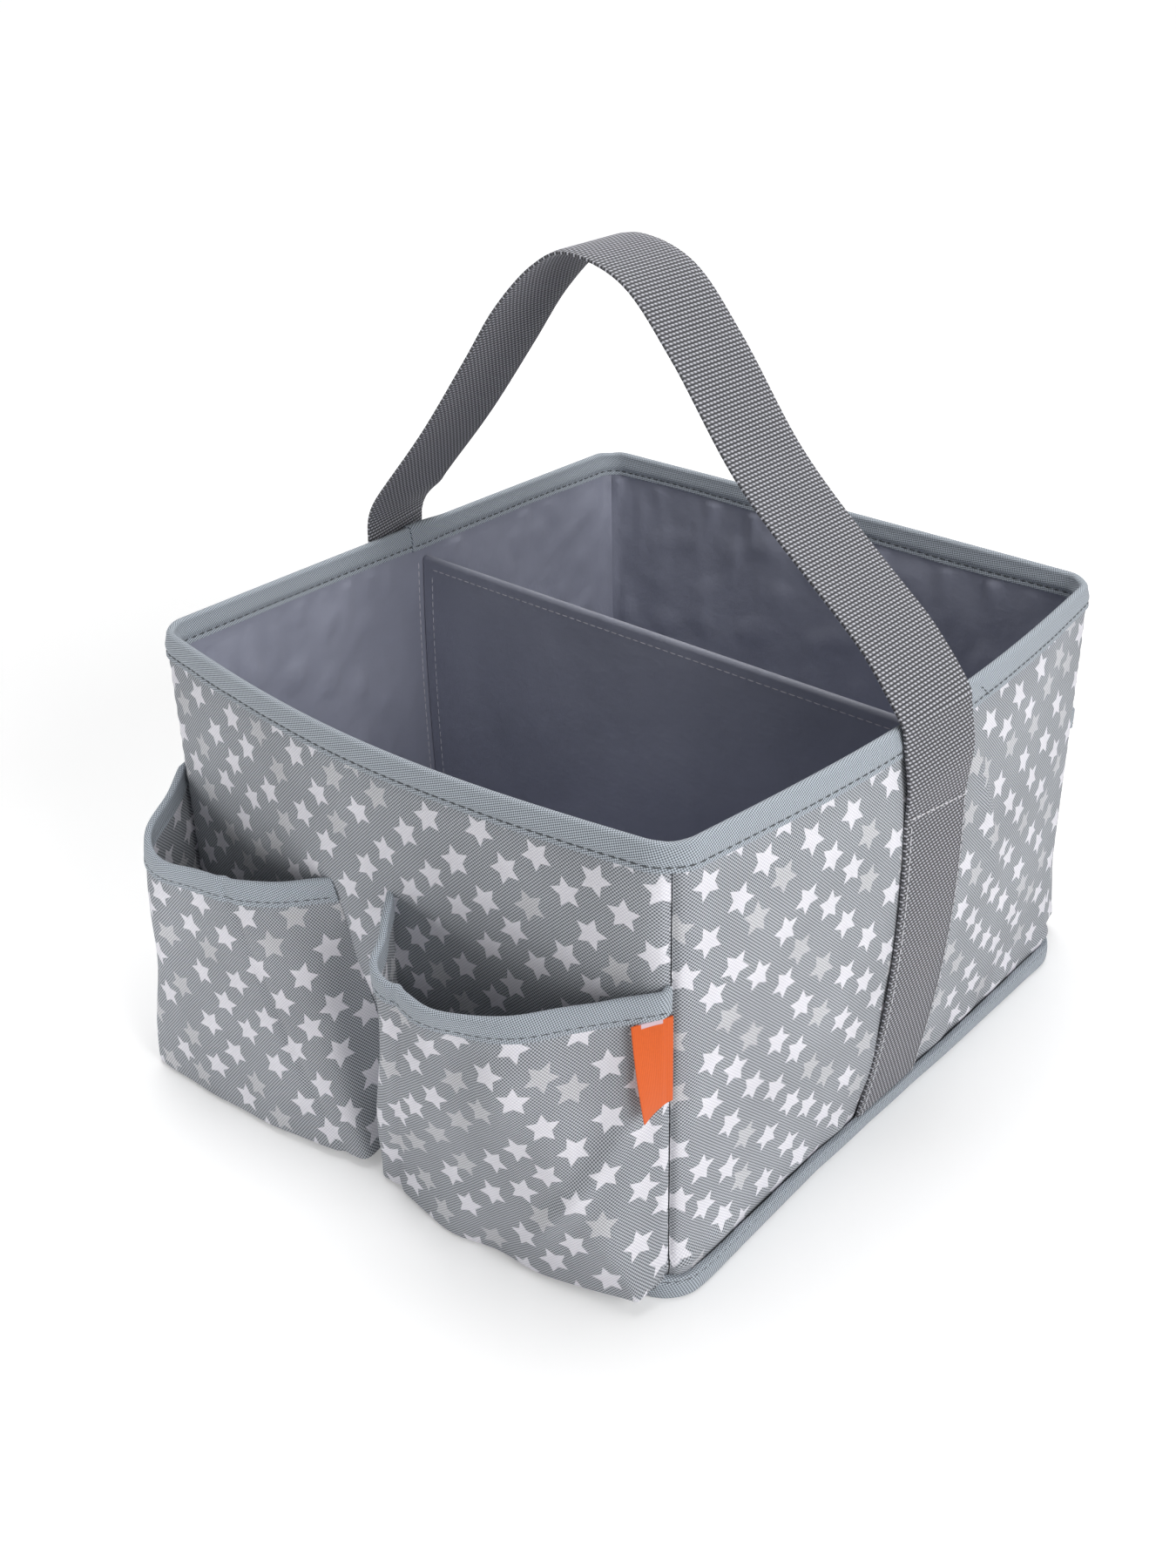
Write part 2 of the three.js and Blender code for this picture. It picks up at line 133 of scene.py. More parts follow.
# spots on a wall: run along it, depth inwards from its outer face, height
def wallSpots(side, run, depth, z):
    corner = box["corner"]
    flat = side["half"] - corner
    straight = np.clip(run, -flat, flat)
    turn = (run - straight) / corner
    share = bowShare(side, straight + corner * np.sin(turn))
    along = straight + (corner - depth) * np.sin(turn)
    out = side["reach"] - corner + (corner - depth) * np.cos(turn) + bowAt(side, z) * share
    return sideSpots(side, along, out, z)


# the cloth's front right corner is pulled out at its foot, less and less towards the rim
cornerPull = dict(place=(0.1245, -0.1305), shift=(0.0036, -0.0052), reach=0.045)


def pulled(spots):
    away = np.hypot(spots[..., 0] - cornerPull["place"][0], spots[..., 1] - cornerPull["place"][1])
    weight = hump(away, 0, cornerPull["reach"]) * np.clip(1 - spots[..., 2] / box["height"], 0, 1)
    moved = spots.copy()
    moved[..., :2] += weight[..., None] * cornerPull["shift"]
    return moved


# a sheet through rows of spots; ring joins the last column to the first, tube the last row too
def layCloth(name, spots, uv, ring=False, tube=False):
    rows, cols = spots.shape[:2]
    i, j = np.meshgrid(np.arange(rows if tube else rows - 1), np.arange(cols if ring else cols - 1),
                       indexing="ij")
    corners = [(i, j), (i, j + 1), (i + 1, j + 1), (i + 1, j)]
    faces = np.stack([(a % rows) * cols + b % cols for a, b in corners], -1).reshape(-1, 4)
    loops = np.stack([uv[a, b] for a, b in corners], 2).reshape(-1, 2)
    mesh = bpy.data.meshes.new(name)
    mesh.from_pydata(spots.reshape(-1, 3).tolist(), [], faces.tolist())
    layer = mesh.uv_layers.new(name="cloth")
    layer.data.foreach_set("uv", loops.astype(np.float32).ravel())
    piece = bpy.data.objects.new(name, mesh)
    bpy.context.scene.collection.objects.link(piece)
    return piece


def pick(*pieces):
    bpy.ops.object.select_all(action="DESELECT")
    for piece in pieces:
        piece.select_set(True)
    bpy.context.view_layer.objects.active = pieces[0]


def thicken(piece, thick):
    pick(piece)
    solid = piece.modifiers.new("thickness", "SOLIDIFY")
    solid.thickness = thick
    solid.offset = -1
    bpy.ops.object.modifier_apply(modifier=solid.name)


def settle(piece, material, slotName, *nodes):
    pick(piece)
    bpy.ops.object.shade_smooth_by_angle(angle=box["smoothAngle"])
    piece.data.materials.clear()
    piece.data.materials.append(material)
    if nodes:
        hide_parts(*nodes)


def makeSheet(name, spots, uv, thick, material, slotName, node, body="caddy", ring=False):
    piece = layCloth(name, spots, uv, ring)
    thicken(piece, thick)
    settle(piece, material, slotName, node)
    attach(piece, body)
    return piece


# nodes of a material, joined up by these few functions
def feed(tree, socket, value):
    if isinstance(value, bpy.types.NodeSocket):
        tree.links.new(value, socket)
    elif value is not None:
        socket.default_value = value


# a new node, with its inputs fed in their own order
def addNode(tree, kind, *values, out=0, **options):
    made = tree.nodes.new("ShaderNode" + kind)
    for key, value in options.items():
        setattr(made, key, value)
    for socket, value in zip(made.inputs, values):
        feed(tree, socket, value)
    return made.outputs[out]


def mathNode(tree, operation, *values, clamp=False):
    return addNode(tree, "Math", *values, operation=operation, use_clamp=clamp)


def times(tree, first, second):
    return mathNode(tree, "MULTIPLY", first, second)


# a share of the first value and the rest of the second
def shareOf(tree, first, second, share):
    return mathNode(tree, "ADD", times(tree, first, share), times(tree, second, 1 - share))


def vectorNode(tree, operation, *values, out=0):
    return addNode(tree, "VectorMath", *values, operation=operation, out=out)


def axes(tree, vector):
    return addNode(tree, "SeparateXYZ", vector, out=slice(3))


def mixColour(tree, factor, first, second):
    unused = (None,) * 5   # a colour's sockets come after those for numbers and vectors
    return addNode(tree, "Mix", factor, *unused, first, second, data_type="RGBA", out=2)


def spread(tree, value, low, high, toLow=0.0, toHigh=1.0):
    return addNode(tree, "MapRange", value, low, high, toLow, toHigh)


def clothPlace(tree):
    return addNode(tree, "UVMap", uv_map="cloth")


def objectPlace(tree):
    return addNode(tree, "TexCoord", out="Object")


def grain(tree, place, scale, detail=3.0):
    return addNode(tree, "TexNoise", place, None, scale, detail)


# noise keeps to its middle, so the middle is spread over the whole range
def mottle(tree, noise, low=0.0, high=1.0):
    return spread(tree, noise, 0.3, 0.7, low, high)


# over-and-under weave, 0 in the gaps and 1 on the crowns of the yarn
def weaveHeight(tree, place, pitch):
    across, along = [mathNode(tree, "SINE", times(tree, axis, 2 * math.pi / pitch))
                     for axis in axes(tree, place)[:2]]
    return spread(tree, times(tree, across, along), -0.6, 0.6)


def startMaterial(name, sheen=0.0, gloss=0.3):
    material = bpy.data.materials.new(name)
    material.use_nodes = True
    tree = material.node_tree
    shader = tree.nodes["Principled BSDF"]
    shader.inputs["Sheen Weight"].default_value = sheen
    shader.inputs["Sheen Roughness"].default_value = 0.5
    shader.inputs["Specular IOR Level"].default_value = gloss
    return material, tree, shader


# bump is its strength and its depth in metres
def coat(tree, shader, colour, roughness, height, bump):
    feed(tree, shader.inputs["Base Color"], colour)
    feed(tree, shader.inputs["Roughness"], roughness)
    node = tree.nodes.new("ShaderNodeBump")
    node.inputs["Strength"].default_value = bump[0]
    node.inputs["Distance"].default_value = bump[1]
    feed(tree, node.inputs["Height"], height)
    feed(tree, shader.inputs["Normal"], node.outputs[0])


starPrint = dict(
    pitch=0.0218, radius=0.0061, jitter=0.0047, softEdge=0.00015, greyShare=0.3,
    waist=0.5, lattices=((0.0, 3.7), (0.5, 41.3)), weave=0.0013, weaveShare=0.84,
    fuzz=1700, patch=26, patchDetail=2.0, wear=(0.93, 1.07),
    rough=(0.86, 0.7), sheen=0.08, bump=(0.55, 0.00028),
    gapGrey=(0.045, 0.051, 0.060, 1), yarnGrey=(0.640, 0.665, 0.715, 1),
    whiteInk=(0.92, 0.91, 0.95, 1), whiteGap=(0.66, 0.65, 0.72, 1),
    paleInk=(0.80, 0.803, 0.830, 1), paleGap=(0.32, 0.324, 0.348, 1),
)


# one square lattice of stars, each shifted and turned by its own cell's chance
def starLattice(tree, place, shift, seed):
    pitch, jitter = starPrint["pitch"], starPrint["jitter"]
    cells = vectorNode(tree, "MULTIPLY", place, (1 / pitch,) * 3)
    cells = vectorNode(tree, "ADD", cells, (shift, shift, 0))
    chance = tree.nodes.new("ShaderNodeTexWhiteNoise")
    cell = vectorNode(tree, "ADD", vectorNode(tree, "FLOOR", cells), (seed,) * 3)
    feed(tree, chance.inputs["Vector"], cell)
    colour = chance.outputs["Color"]
    nudge = vectorNode(tree, "SUBTRACT", colour, (0.5, 0.5, 0.5))
    nudge = vectorNode(tree, "MULTIPLY", nudge, (jitter, jitter, 0))
    local = vectorNode(tree, "SUBTRACT", vectorNode(tree, "FRACTION", cells), (0.5, 0.5, 0))
    local = vectorNode(tree, "MULTIPLY", local, (pitch, pitch, 0))
    local = vectorNode(tree, "SUBTRACT", local, nudge)
    x, y = axes(tree, local)[:2]
    turn = times(tree, axes(tree, colour)[2], 2 * math.pi)
    angle = mathNode(tree, "ADD", mathNode(tree, "ARCTAN2", y, x), turn)
    folded = mathNode(tree, "PINGPONG", angle, math.pi / 5)
    edgeX = starPrint["waist"] * math.sin(math.pi / 5)
    edgeY = 1 - starPrint["waist"] * math.cos(math.pi / 5)
    slant = math.atan2(edgeY, edgeX)
    aside = mathNode(tree, "COSINE", mathNode(tree, "SUBTRACT", folded, slant))
    reach = times(tree, vectorNode(tree, "LENGTH", local, out="Value"), aside)
    limit = math.cos(slant) * starPrint["radius"]
    mask = spread(tree, reach, limit + starPrint["softEdge"], limit - starPrint["softEdge"])
    pale = mathNode(tree, "LESS_THAN", chance.outputs["Value"], starPrint["greyShare"])
    return mask, pale


def printedCloth():
    material, tree, shader = startMaterial("printedCloth", starPrint["sheen"])
    place = clothPlace(tree)
    weave = weaveHeight(tree, place, starPrint["weave"])
    yarn = shareOf(tree, weave, grain(tree, place, starPrint["fuzz"]), starPrint["weaveShare"])
    patch = grain(tree, place, starPrint["patch"], starPrint["patchDetail"])
    ground = mixColour(tree, yarn, starPrint["gapGrey"], starPrint["yarnGrey"])
    first, firstPale = starLattice(tree, place, *starPrint["lattices"][0])
    second, secondPale = starLattice(tree, place, *starPrint["lattices"][1])
    mask = mathNode(tree, "MAXIMUM", first, second)
    pale = mathNode(tree, "ADD", times(tree, first, firstPale), times(tree, second, secondPale), clamp=True)
    white = mixColour(tree, yarn, starPrint["whiteGap"], starPrint["whiteInk"])
    grey = mixColour(tree, yarn, starPrint["paleGap"], starPrint["paleInk"])
    inked = mixColour(tree, mask, ground, mixColour(tree, pale, white, grey))
    wear = mottle(tree, patch, *starPrint["wear"])
    worn = addNode(tree, "HueSaturation", None, None, wear, None, inked)
    rough = spread(tree, mask, 0.0, 1.0, *starPrint["rough"])
    coat(tree, shader, worn, rough, yarn, starPrint["bump"])
    return material


tapeFinish = dict(
    pitch=0.0011, bias=math.radians(24), weaveShare=0.8, fuzz=1800,
    rough=(0.7, 0.86), sheen=0.1, bump=(0.5, 0.00022),
    valley=(0.052, 0.064, 0.078, 1), crown=(0.650, 0.710, 0.780, 1),
)


# plain weave cut on the bias, so that its rows slant along the tape
def twillTape():
    material, tree, shader = startMaterial("twillTape", tapeFinish["sheen"])
    place = clothPlace(tree)
    turned = addNode(tree, "VectorRotate", place, None, None, tapeFinish["bias"], rotation_type="Z_AXIS")
    weave = weaveHeight(tree, turned, tapeFinish["pitch"])
    fuzz = grain(tree, place, tapeFinish["fuzz"])
    shade = shareOf(tree, weave, fuzz, tapeFinish["weaveShare"])
    colour = mixColour(tree, shade, tapeFinish["valley"], tapeFinish["crown"])
    coat(tree, shader, colour, mottle(tree, fuzz, *tapeFinish["rough"]), shade, tapeFinish["bump"])
    return material


webFinish = dict(
    rib=0.0015, yarn=0.0019, ribEdge=(-0.6, 0.8), lean=0.5, yarnLow=0.12, ribShare=0.9,
    fuzz=1500, rough=(0.55, 0.75), sheen=0.12, bump=(0.6, 0.0004),
    gap=(0.011, 0.011, 0.013, 1), crown=(0.690, 0.695, 0.760, 1),
)


# ribs across the strap, each a row of short slanted yarns
def webbing():
    material, tree, shader = startMaterial("webbing", webFinish["sheen"])
    place = clothPlace(tree)
    across, along = [times(tree, axis, 2 * math.pi / webFinish[key])
                     for axis, key in zip(axes(tree, place), ("yarn", "rib"))]
    ribs = spread(tree, mathNode(tree, "COSINE", along), *webFinish["ribEdge"])
    lean = mathNode(tree, "ADD", across, times(tree, along, webFinish["lean"]))
    yarns = spread(tree, mathNode(tree, "SINE", lean), -1.0, 1.0, webFinish["yarnLow"], 1.0)
    fuzz = grain(tree, place, webFinish["fuzz"])
    height = times(tree, ribs, yarns)
    shade = shareOf(tree, height, fuzz, webFinish["ribShare"])
    colour = mixColour(tree, shade, webFinish["gap"], webFinish["crown"])
    coat(tree, shader, colour, mottle(tree, fuzz, *webFinish["rough"]), height, webFinish["bump"])
    return material


liningFinish = dict(
    weave=0.0006, weaveShare=0.03, drift=14, crumple=55, detail=4.0,
    rough=(0.36, 0.52), sheen=0.3, gloss=0.6, bump=(0.5, 0.0024),
    dark=(0.270, 0.283, 0.355, 1), light=(0.365, 0.380, 0.465, 1),
)


def satinLining():
    material, tree, shader = startMaterial("satinLining", liningFinish["sheen"], liningFinish["gloss"])
    place = clothPlace(tree)
    drift = grain(tree, place, liningFinish["drift"], liningFinish["detail"])
    crumple = grain(tree, place, liningFinish["crumple"], liningFinish["detail"])
    weave = weaveHeight(tree, place, liningFinish["weave"])
    colour = mixColour(tree, mottle(tree, drift), liningFinish["dark"], liningFinish["light"])
    height = mathNode(tree, "ADD", crumple, times(tree, weave, liningFinish["weaveShare"]))
    coat(tree, shader, colour, mottle(tree, crumple, *liningFinish["rough"]), height, liningFinish["bump"])
    return material


ribbonFinish = dict(
    yarn=0.00055, yarnShare=0.5, fuzz=900, rough=(0.34, 0.5), sheen=0.2, bump=(0.35, 0.00012),
    deep=(0.62, 0.085, 0.006, 1), bright=(0.80, 0.140, 0.014, 1), selvedge=(0.66, 0.50, 0.56, 1),
    leaf=0.0145, hem=0.0323, hemSoft=0.0004, hemMiddle=0.0078, hemHalf=0.0036,
)


# satin ribbon with fine upright yarns and a short pale edge on top
def orangeRibbon():
    material, tree, shader = startMaterial("orangeRibbon", ribbonFinish["sheen"])
    place = clothPlace(tree)
    along, up = axes(tree, place)[:2]
    yarns = mathNode(tree, "SINE", times(tree, along, 2 * math.pi / ribbonFinish["yarn"]))
    fuzz = grain(tree, place, ribbonFinish["fuzz"])
    shade = shareOf(tree, spread(tree, yarns, -1.0, 1.0), fuzz, ribbonFinish["yarnShare"])
    cloth = mixColour(tree, shade, ribbonFinish["deep"], ribbonFinish["bright"])
    leaf = mathNode(tree, "PINGPONG", along, ribbonFinish["leaf"])
    hem = spread(tree, up, ribbonFinish["hem"], ribbonFinish["hem"] + ribbonFinish["hemSoft"])
    short = mathNode(tree, "COMPARE", leaf, ribbonFinish["hemMiddle"], ribbonFinish["hemHalf"])
    colour = mixColour(tree, times(tree, hem, short), cloth, ribbonFinish["selvedge"])
    coat(tree, shader, colour, mottle(tree, fuzz, *ribbonFinish["rough"]), shade, ribbonFinish["bump"])
    return material


threadFinish = dict(scale=2400, detail=3.0, rough=0.55, sheen=0.1, bump=(0.4, 0.0001))
boardFinish = dict(scale=420, detail=6.0, rough=0.9, sheen=0.0, bump=(0.3, 0.0002))


# threads and boards: fibres between a darker and a lighter colour
def fibrous(name, finish, dark, light):
    material, tree, shader = startMaterial(name, finish["sheen"])
    fibre = grain(tree, objectPlace(tree), finish["scale"], finish["detail"])
    coat(tree, shader, mixColour(tree, fibre, dark, light), finish["rough"], fibre, finish["bump"])
    return material


starCloth = printedCloth()
tape = twillTape()
webbingGrey = webbing()
satin = satinLining()
ribbon = orangeRibbon()
darkThread = fibrous("darkThread", threadFinish, (0.045, 0.05, 0.055, 1), (0.10, 0.11, 0.12, 1))
greyThread = fibrous("greyThread", threadFinish, (0.46, 0.46, 0.49, 1), (0.70, 0.70, 0.74, 1))
paleThread = fibrous("paleThread", threadFinish, (0.58, 0.57, 0.60, 1), (0.80, 0.78, 0.82, 1))
board = fibrous("greyBoard", boardFinish, (0.40, 0.37, 0.31, 1), (0.56, 0.53, 0.47, 1))
for nodeName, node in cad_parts.items():
    if nodeName.endswith("_board"):
        node.data.materials.clear()
        node.data.materials.append(board)
print("materials made")

# fullness is given as level, share of the waves and most; marks as in within
panel = dict(
    cols=150, rows=96, thick=0.0008, evenShare=0.25, seamClear=0.0002, printShift=(0.37, 0.11),
    puff=0.0011, puffSpan=0.055, puffFull=(0.5, 0.6, 1.2), puffEdge=0.03,
    puffMarks=(0.010, 0.030, 0.155, 0.169), roll=0.0013, rollWidth=0.0016,
    pucker=0.0003, puckerPitch=0.0068, puckerReach=0.006, puckerDrift=2.5, driftSpan=0.05,
    tuck=0.0022, tuckSpan=0.030, tuckFull=(0.5, 1.0, 1.2), tuckHeight=0.0140, tuckReach=0.0042,
    tagDent=0.0008, tagFoot=0.087, tagReach=0.008, tagSeam=0.0032,
)
# where the strap's middle runs down the side walls, and how far from it the cloth is free
underStrap = dict(right=-0.0055, left=0.0)
strapClear = (0.021, 0.032)
# the strap pulls two slanting folds into the right wall, behind it
pullFolds = [
    dict(run=0.031, z=0.134, slope=-0.45, width=0.0034, long=0.020, rise=0.0024),
    dict(run=0.046, z=0.098, slope=-0.55, width=0.0050, long=0.022, rise=0.0014),
]


# the printed cloth of one wall: it puffs a little off its board and rolls in at the corner seams
def makeOuterPanel(key, seed):
    side = sides[key]
    half = halfRun(side) - panel["seamClear"]
    share = np.linspace(-1, 1, panel["cols"])
    runs = half * (panel["evenShare"] * share + (1 - panel["evenShare"]) * np.sin(share * np.pi / 2))
    run, z = np.meshgrid(runs, np.linspace(box["wallFoot"], box["wallTop"], panel["rows"]))
    edge = half - abs(run)
    puff = panel["puff"] * fullness(run, z, panel["puffSpan"], seed, *panel["puffFull"])
    puff = puff * smooth(edge, 0, panel["puffEdge"]) * within(z, panel["puffMarks"])
    low = hump(z, panel["tuckHeight"], panel["tuckReach"])
    if key in underStrap:
        low = low * smooth(abs(run - underStrap[key]), *strapClear)
    tuck = fullness(run, z * 0, panel["tuckSpan"], seed + 80, *panel["tuckFull"])
    puff = puff + panel["tuck"] * tuck * low
    for fold in pullFolds if key == "right" else []:
        aside = run - fold["run"] - fold["slope"] * (z - fold["z"])
        puff = puff + fold["rise"] * hump(aside, 0, fold["width"]) * hump(z, fold["z"], fold["long"])
    drift = panel["puckerDrift"] * ripple(z * 0, z, panel["driftSpan"], seed + 50)
    beat = z * 2 * np.pi / panel["puckerPitch"] + drift
    pucker = panel["pucker"] * np.sin(beat) * np.exp(-edge / panel["puckerReach"])
    roll = panel["roll"] * hump(edge, 0, panel["rollWidth"])
    if key == "right":   # drawn in where the tag is caught in the seam
        beside = hump(edge, panel["tagSeam"], panel["tagSeam"]) * (run < 0)
        roll = roll + panel["tagDent"] * beside * hump(z, panel["tagFoot"], panel["tagReach"])
    spots = pulled(wallSpots(side, run, roll - puff - pucker, z))
    uv = np.stack([run + panel["printShift"][0] * seed, z + panel["printShift"][1] * seed], -1)
    piece = makeSheet(key + "Cloth", spots, uv, panel["thick"], starCloth, "printed_cloth",
                      key + "_outer_panel")


for seed, key in enumerate(sides, 1):
    makeOuterPanel(key, seed)
print("outer panels laid")

lining = dict(
    cols=110, rows=80, thick=0.0004, depth=0.0037, foot=0.0058, top=0.1755, clothShift=0.41,
    slack=0.0020, slackSpan=0.070, slackTall=0.55, slackFull=(0.35, 0.6, 1.3), slackEdge=0.012,
    slackMarks=(0.006, 0.030, 0.152, 0.171), crease=0.0010, creaseSpan=0.020, creaseTall=0.6,
    gather=0.0014, gatherSpan=0.014, gatherTall=0.3, gatherReach=0.026, gatherTop=0.1695,
    gatherStart=0.003, seamRun=0.008, seamFree=(0.003, 0.020),
    lap=dict(front=0.0007, back=0.0007, left=-0.0001, right=-0.0001), lapDepth=0.00048,
)


# the satin of one wall, facing in and a little loose on its board
def makeLining(key, seed):
    side = sides[key]
    half = halfRun(side) + lining["lap"][key]
    run, z = np.meshgrid(np.linspace(half, -half, lining["cols"]),
                         np.linspace(lining["foot"], lining["top"], lining["rows"]))
    loose = fullness(run, z * lining["slackTall"], lining["slackSpan"], seed, *lining["slackFull"])
    crease = fullness(run, z * lining["creaseTall"], lining["creaseSpan"], seed + 7)
    slack = lining["slack"] * loose + lining["crease"] * crease
    slack = slack * smooth(half - abs(run), 0, lining["slackEdge"]) * within(z, lining["slackMarks"])
    below = np.maximum(lining["gatherTop"] - z, 0)
    gather = fullness(run, below * lining["gatherTall"], lining["gatherSpan"], seed + 30)
    fall = np.exp(-below / lining["gatherReach"]) * smooth(below, 0, lining["gatherStart"])
    slack = slack + lining["gather"] * gather * fall
    if key in ("left", "right"):   # held flat at the divider's seam
        slack = slack * smooth(abs(run - lining["seamRun"] * side["normal"][0]), *lining["seamFree"])
    under = lining["lapDepth"] * (abs(run) > halfRun(side))   # its edge goes behind the next lining
    spots = wallSpots(side, run, lining["depth"] + slack - under, z)
    uv = np.stack([run + lining["clothShift"] * seed, z], -1)
    piece = makeSheet(key + "Lining", spots, uv, lining["thick"], satin, "satin_lining", key + "_lining")


for seed, key in enumerate(sides, 21):
    makeLining(key, seed)

plate = dict(
    count=90, clothThick=0.0008, liningThick=0.0005, baseInset=0.0002, floorInset=0.0044,
    rise=0.0002, printShift=0.6, floorLess=0.008,
    puff=0.0011, puffSpan=0.08, puffFull=(0.4, 0.6, 1.2), puffEdge=(0.004, 0.030),
)


# a square grid drawn out to the box's own plan, with its rounded corners and bowed sides
def planGrid(inset, z):
    share = np.linspace(-1, 1, plate["count"])
    s, t = np.meshgrid(share, share)
    size = np.maximum(np.maximum(abs(s), abs(t)), 1e-9)
    spots = np.zeros(s.shape + (3,))
    for key, inSector, run in (("right", s >= abs(t), t / size), ("left", -s >= abs(t), -t / size),
                               ("front", -t >= abs(s), s / size), ("back", t >= abs(s), -s / size)):
        edge = wallSpots(sides[key], halfRun(sides[key]) * run, inset, z)
        spots[inSector] = (edge * size[..., None])[inSector]
    return spots


def makePlates():
    under = planGrid(plate["baseInset"], 0.0)
    under[..., 2] = plate["rise"]
    under = pulled(under)[:, ::-1]
    piece = makeSheet("baseCloth", under, under[..., :2] + plate["printShift"], plate["clothThick"],
                      starCloth, "printed_cloth", "base_outer_panel")

    floor = planGrid(plate["floorInset"], box["floorTop"])
    x, y = floor[..., 0], floor[..., 1]
    edge = np.minimum(box["width"] / 2 - abs(x), box["depth"] / 2 - abs(y))
    puff = plate["puff"] * fullness(x, y, plate["puffSpan"], 33, *plate["puffFull"])
    floor[..., 2] = box["floorTop"] + plate["rise"] + puff * smooth(edge, *plate["puffEdge"])
    piece = makeSheet("floorLining", floor, floor[..., :2], plate["liningThick"], satin, "satin_lining",
                      "floor_lining")


makePlates()
print("linings, base and floor laid")

# rows of sewing: every stitch is a small arch of thread, collected by group
sewing = dict(pitch=0.0038, length=0.0031, width=0.00050, height=0.00034, arch=0.35, sink=0.15, rise=0.00004)
sewnRows = {"rim": [], "pockets": [], "welt": [], "strap": [], "cross": [], "divider": []}


def seedStitch():
    bpy.ops.object.select_all(action="DESELECT")
    bpy.ops.mesh.primitive_uv_sphere_add(segments=6, ring_count=5, radius=0.5)
    seed = bpy.context.object
    bpy.ops.object.mode_set(mode="EDIT")
    bpy.ops.transform.rotate(value=math.pi / 2, orient_axis="Y", center_override=(0, 0, 0))
    bpy.ops.object.mode_set(mode="OBJECT")
    spots = np.array([v.co for v in seed.data.vertices])
    faces = [list(p.vertices) for p in seed.data.polygons]
    bpy.data.objects.remove(seed)
    spots[:, 2] += sewing["arch"] * (1 - (2 * spots[:, 0]) ** 2) - sewing["sink"]
    return spots, faces


stitchSpots, stitchFaces = seedStitch()


def resample(path, *others, step=None, count=None):
    far = np.concatenate([[0], np.cumsum(np.linalg.norm(np.diff(path, axis=0), axis=1))])
    if count is None:
        count = max(2, int(far[-1] / step))
    marks = (np.arange(count) + 0.5) * far[-1] / count if step else np.linspace(0, far[-1], count)
    return [np.stack([np.interp(marks, far, row[:, k]) for k in range(row.shape[1])], -1)
            for row in (path, *others)]


# one stitch after another along a path that lies on a surface
def stitchAlong(group, path, facing, scale=1.0, thread=1.0, rise=sewing["rise"]):
    facing = np.broadcast_to(facing, path.shape)
    spots, facing = resample(path + facing * rise, facing, step=sewing["pitch"] * scale)
    heading = unit(np.gradient(spots, axis=0))
    facing = unit(facing - heading * (facing * heading).sum(-1, keepdims=True))
    aside = np.cross(facing, heading)
    sizes = np.array([sewing["length"] * scale, sewing["width"] * thread, sewing["height"] * thread])
    shape = stitchSpots * sizes
    for k in range(len(spots)):
        turned = shape[:, :1] * heading[k] + shape[:, 1:2] * aside[k] + shape[:, 2:] * facing[k]
        sewnRows[group].append(spots[k] + turned)


# once round the box, facing out, or in with side -1
def stitchRing(group, line, side=1, thread=1.0):
    closed = np.concatenate([line, line[:1]])
    along = np.gradient(closed, axis=0)
    facing = unit(np.stack([along[:, 1], -along[:, 0], along[:, 2] * 0], -1)) * side
    stitchAlong(group, closed, facing, thread=thread)


def sewRows(group, name, material, slotName):
    rows = sewnRows[group]
    size = len(stitchSpots)
    faces = [[i + k * size for i in face] for k in range(len(rows)) for face in stitchFaces]
    mesh = bpy.data.meshes.new(name)
    mesh.from_pydata(np.concatenate(rows).tolist(), [], faces)
    piece = bpy.data.objects.new(name, mesh)
    bpy.context.scene.collection.objects.link(piece)
    settle(piece, material, slotName)
    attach(piece, "caddy")


roundTrip = dict(perSide=230, joinGap=0.00005)


# once round the box: every wall's runs, how far along the tape they lie, and where the corners are
def aroundBox(joinKey=None, joinRun=0.0):
    stations, corners = [], [0.0]
    for key, side in sides.items():
        half = halfRun(side)
        runs = np.linspace(-half, half, roundTrip["perSide"], endpoint=False)
        if key == joinKey:
            runs = np.sort(np.append(runs, [joinRun - roundTrip["joinGap"], joinRun + roundTrip["joinGap"]]))
        stations.append((side, runs, corners[-1] + runs + half))
        corners.append(corners[-1] + 2 * half)
    return stations, corners


def ringSpots(stations, depth, z, wobble):
    parts = []
    for side, runs, far in stations:
        shift, lift = wobble(far)
        parts.append(wallSpots(side, runs[None, :], depth[:, None] + shift, z[:, None] + lift))
    return np.concatenate(parts, 1)


def ringUv(stations, corners, across):
    far = np.concatenate([part[2] for part in stations] + [corners[-1:]])
    return np.stack(np.meshgrid(far, across), -1)


def cornerPinch(far, corners, ring):
    return sum(ring["pinch"] * hump(far, corner, ring["pinchReach"]) for corner in corners)


rim = dict(
    outerFoot=0.1704, innerFoot=0.1698, shoulder=0.1784, outer=-0.0009, inner=0.0045,
    lean=0.0011, leanFrom=0.003, leanPast=0.001, legRows=15, archRows=12, thick=0.0006,
    wave=0.00045, waveSpan=0.07, swell=0.000225, swellSpan=0.05, pinch=0.0006,
    pinchReach=0.004, stitchRise=0.0020, dent=0.0005, dentWidth=0.0009, thread=1.25,
    joinSide="left", joinRun=0.001, joinStep=0.0009, joinLong=0.024, joinFlat=0.006,
    end=dict(run=0.0255, long=0.006, drop=0.0012, tall=0.0055, clear=0.0001, scale=0.6),
)


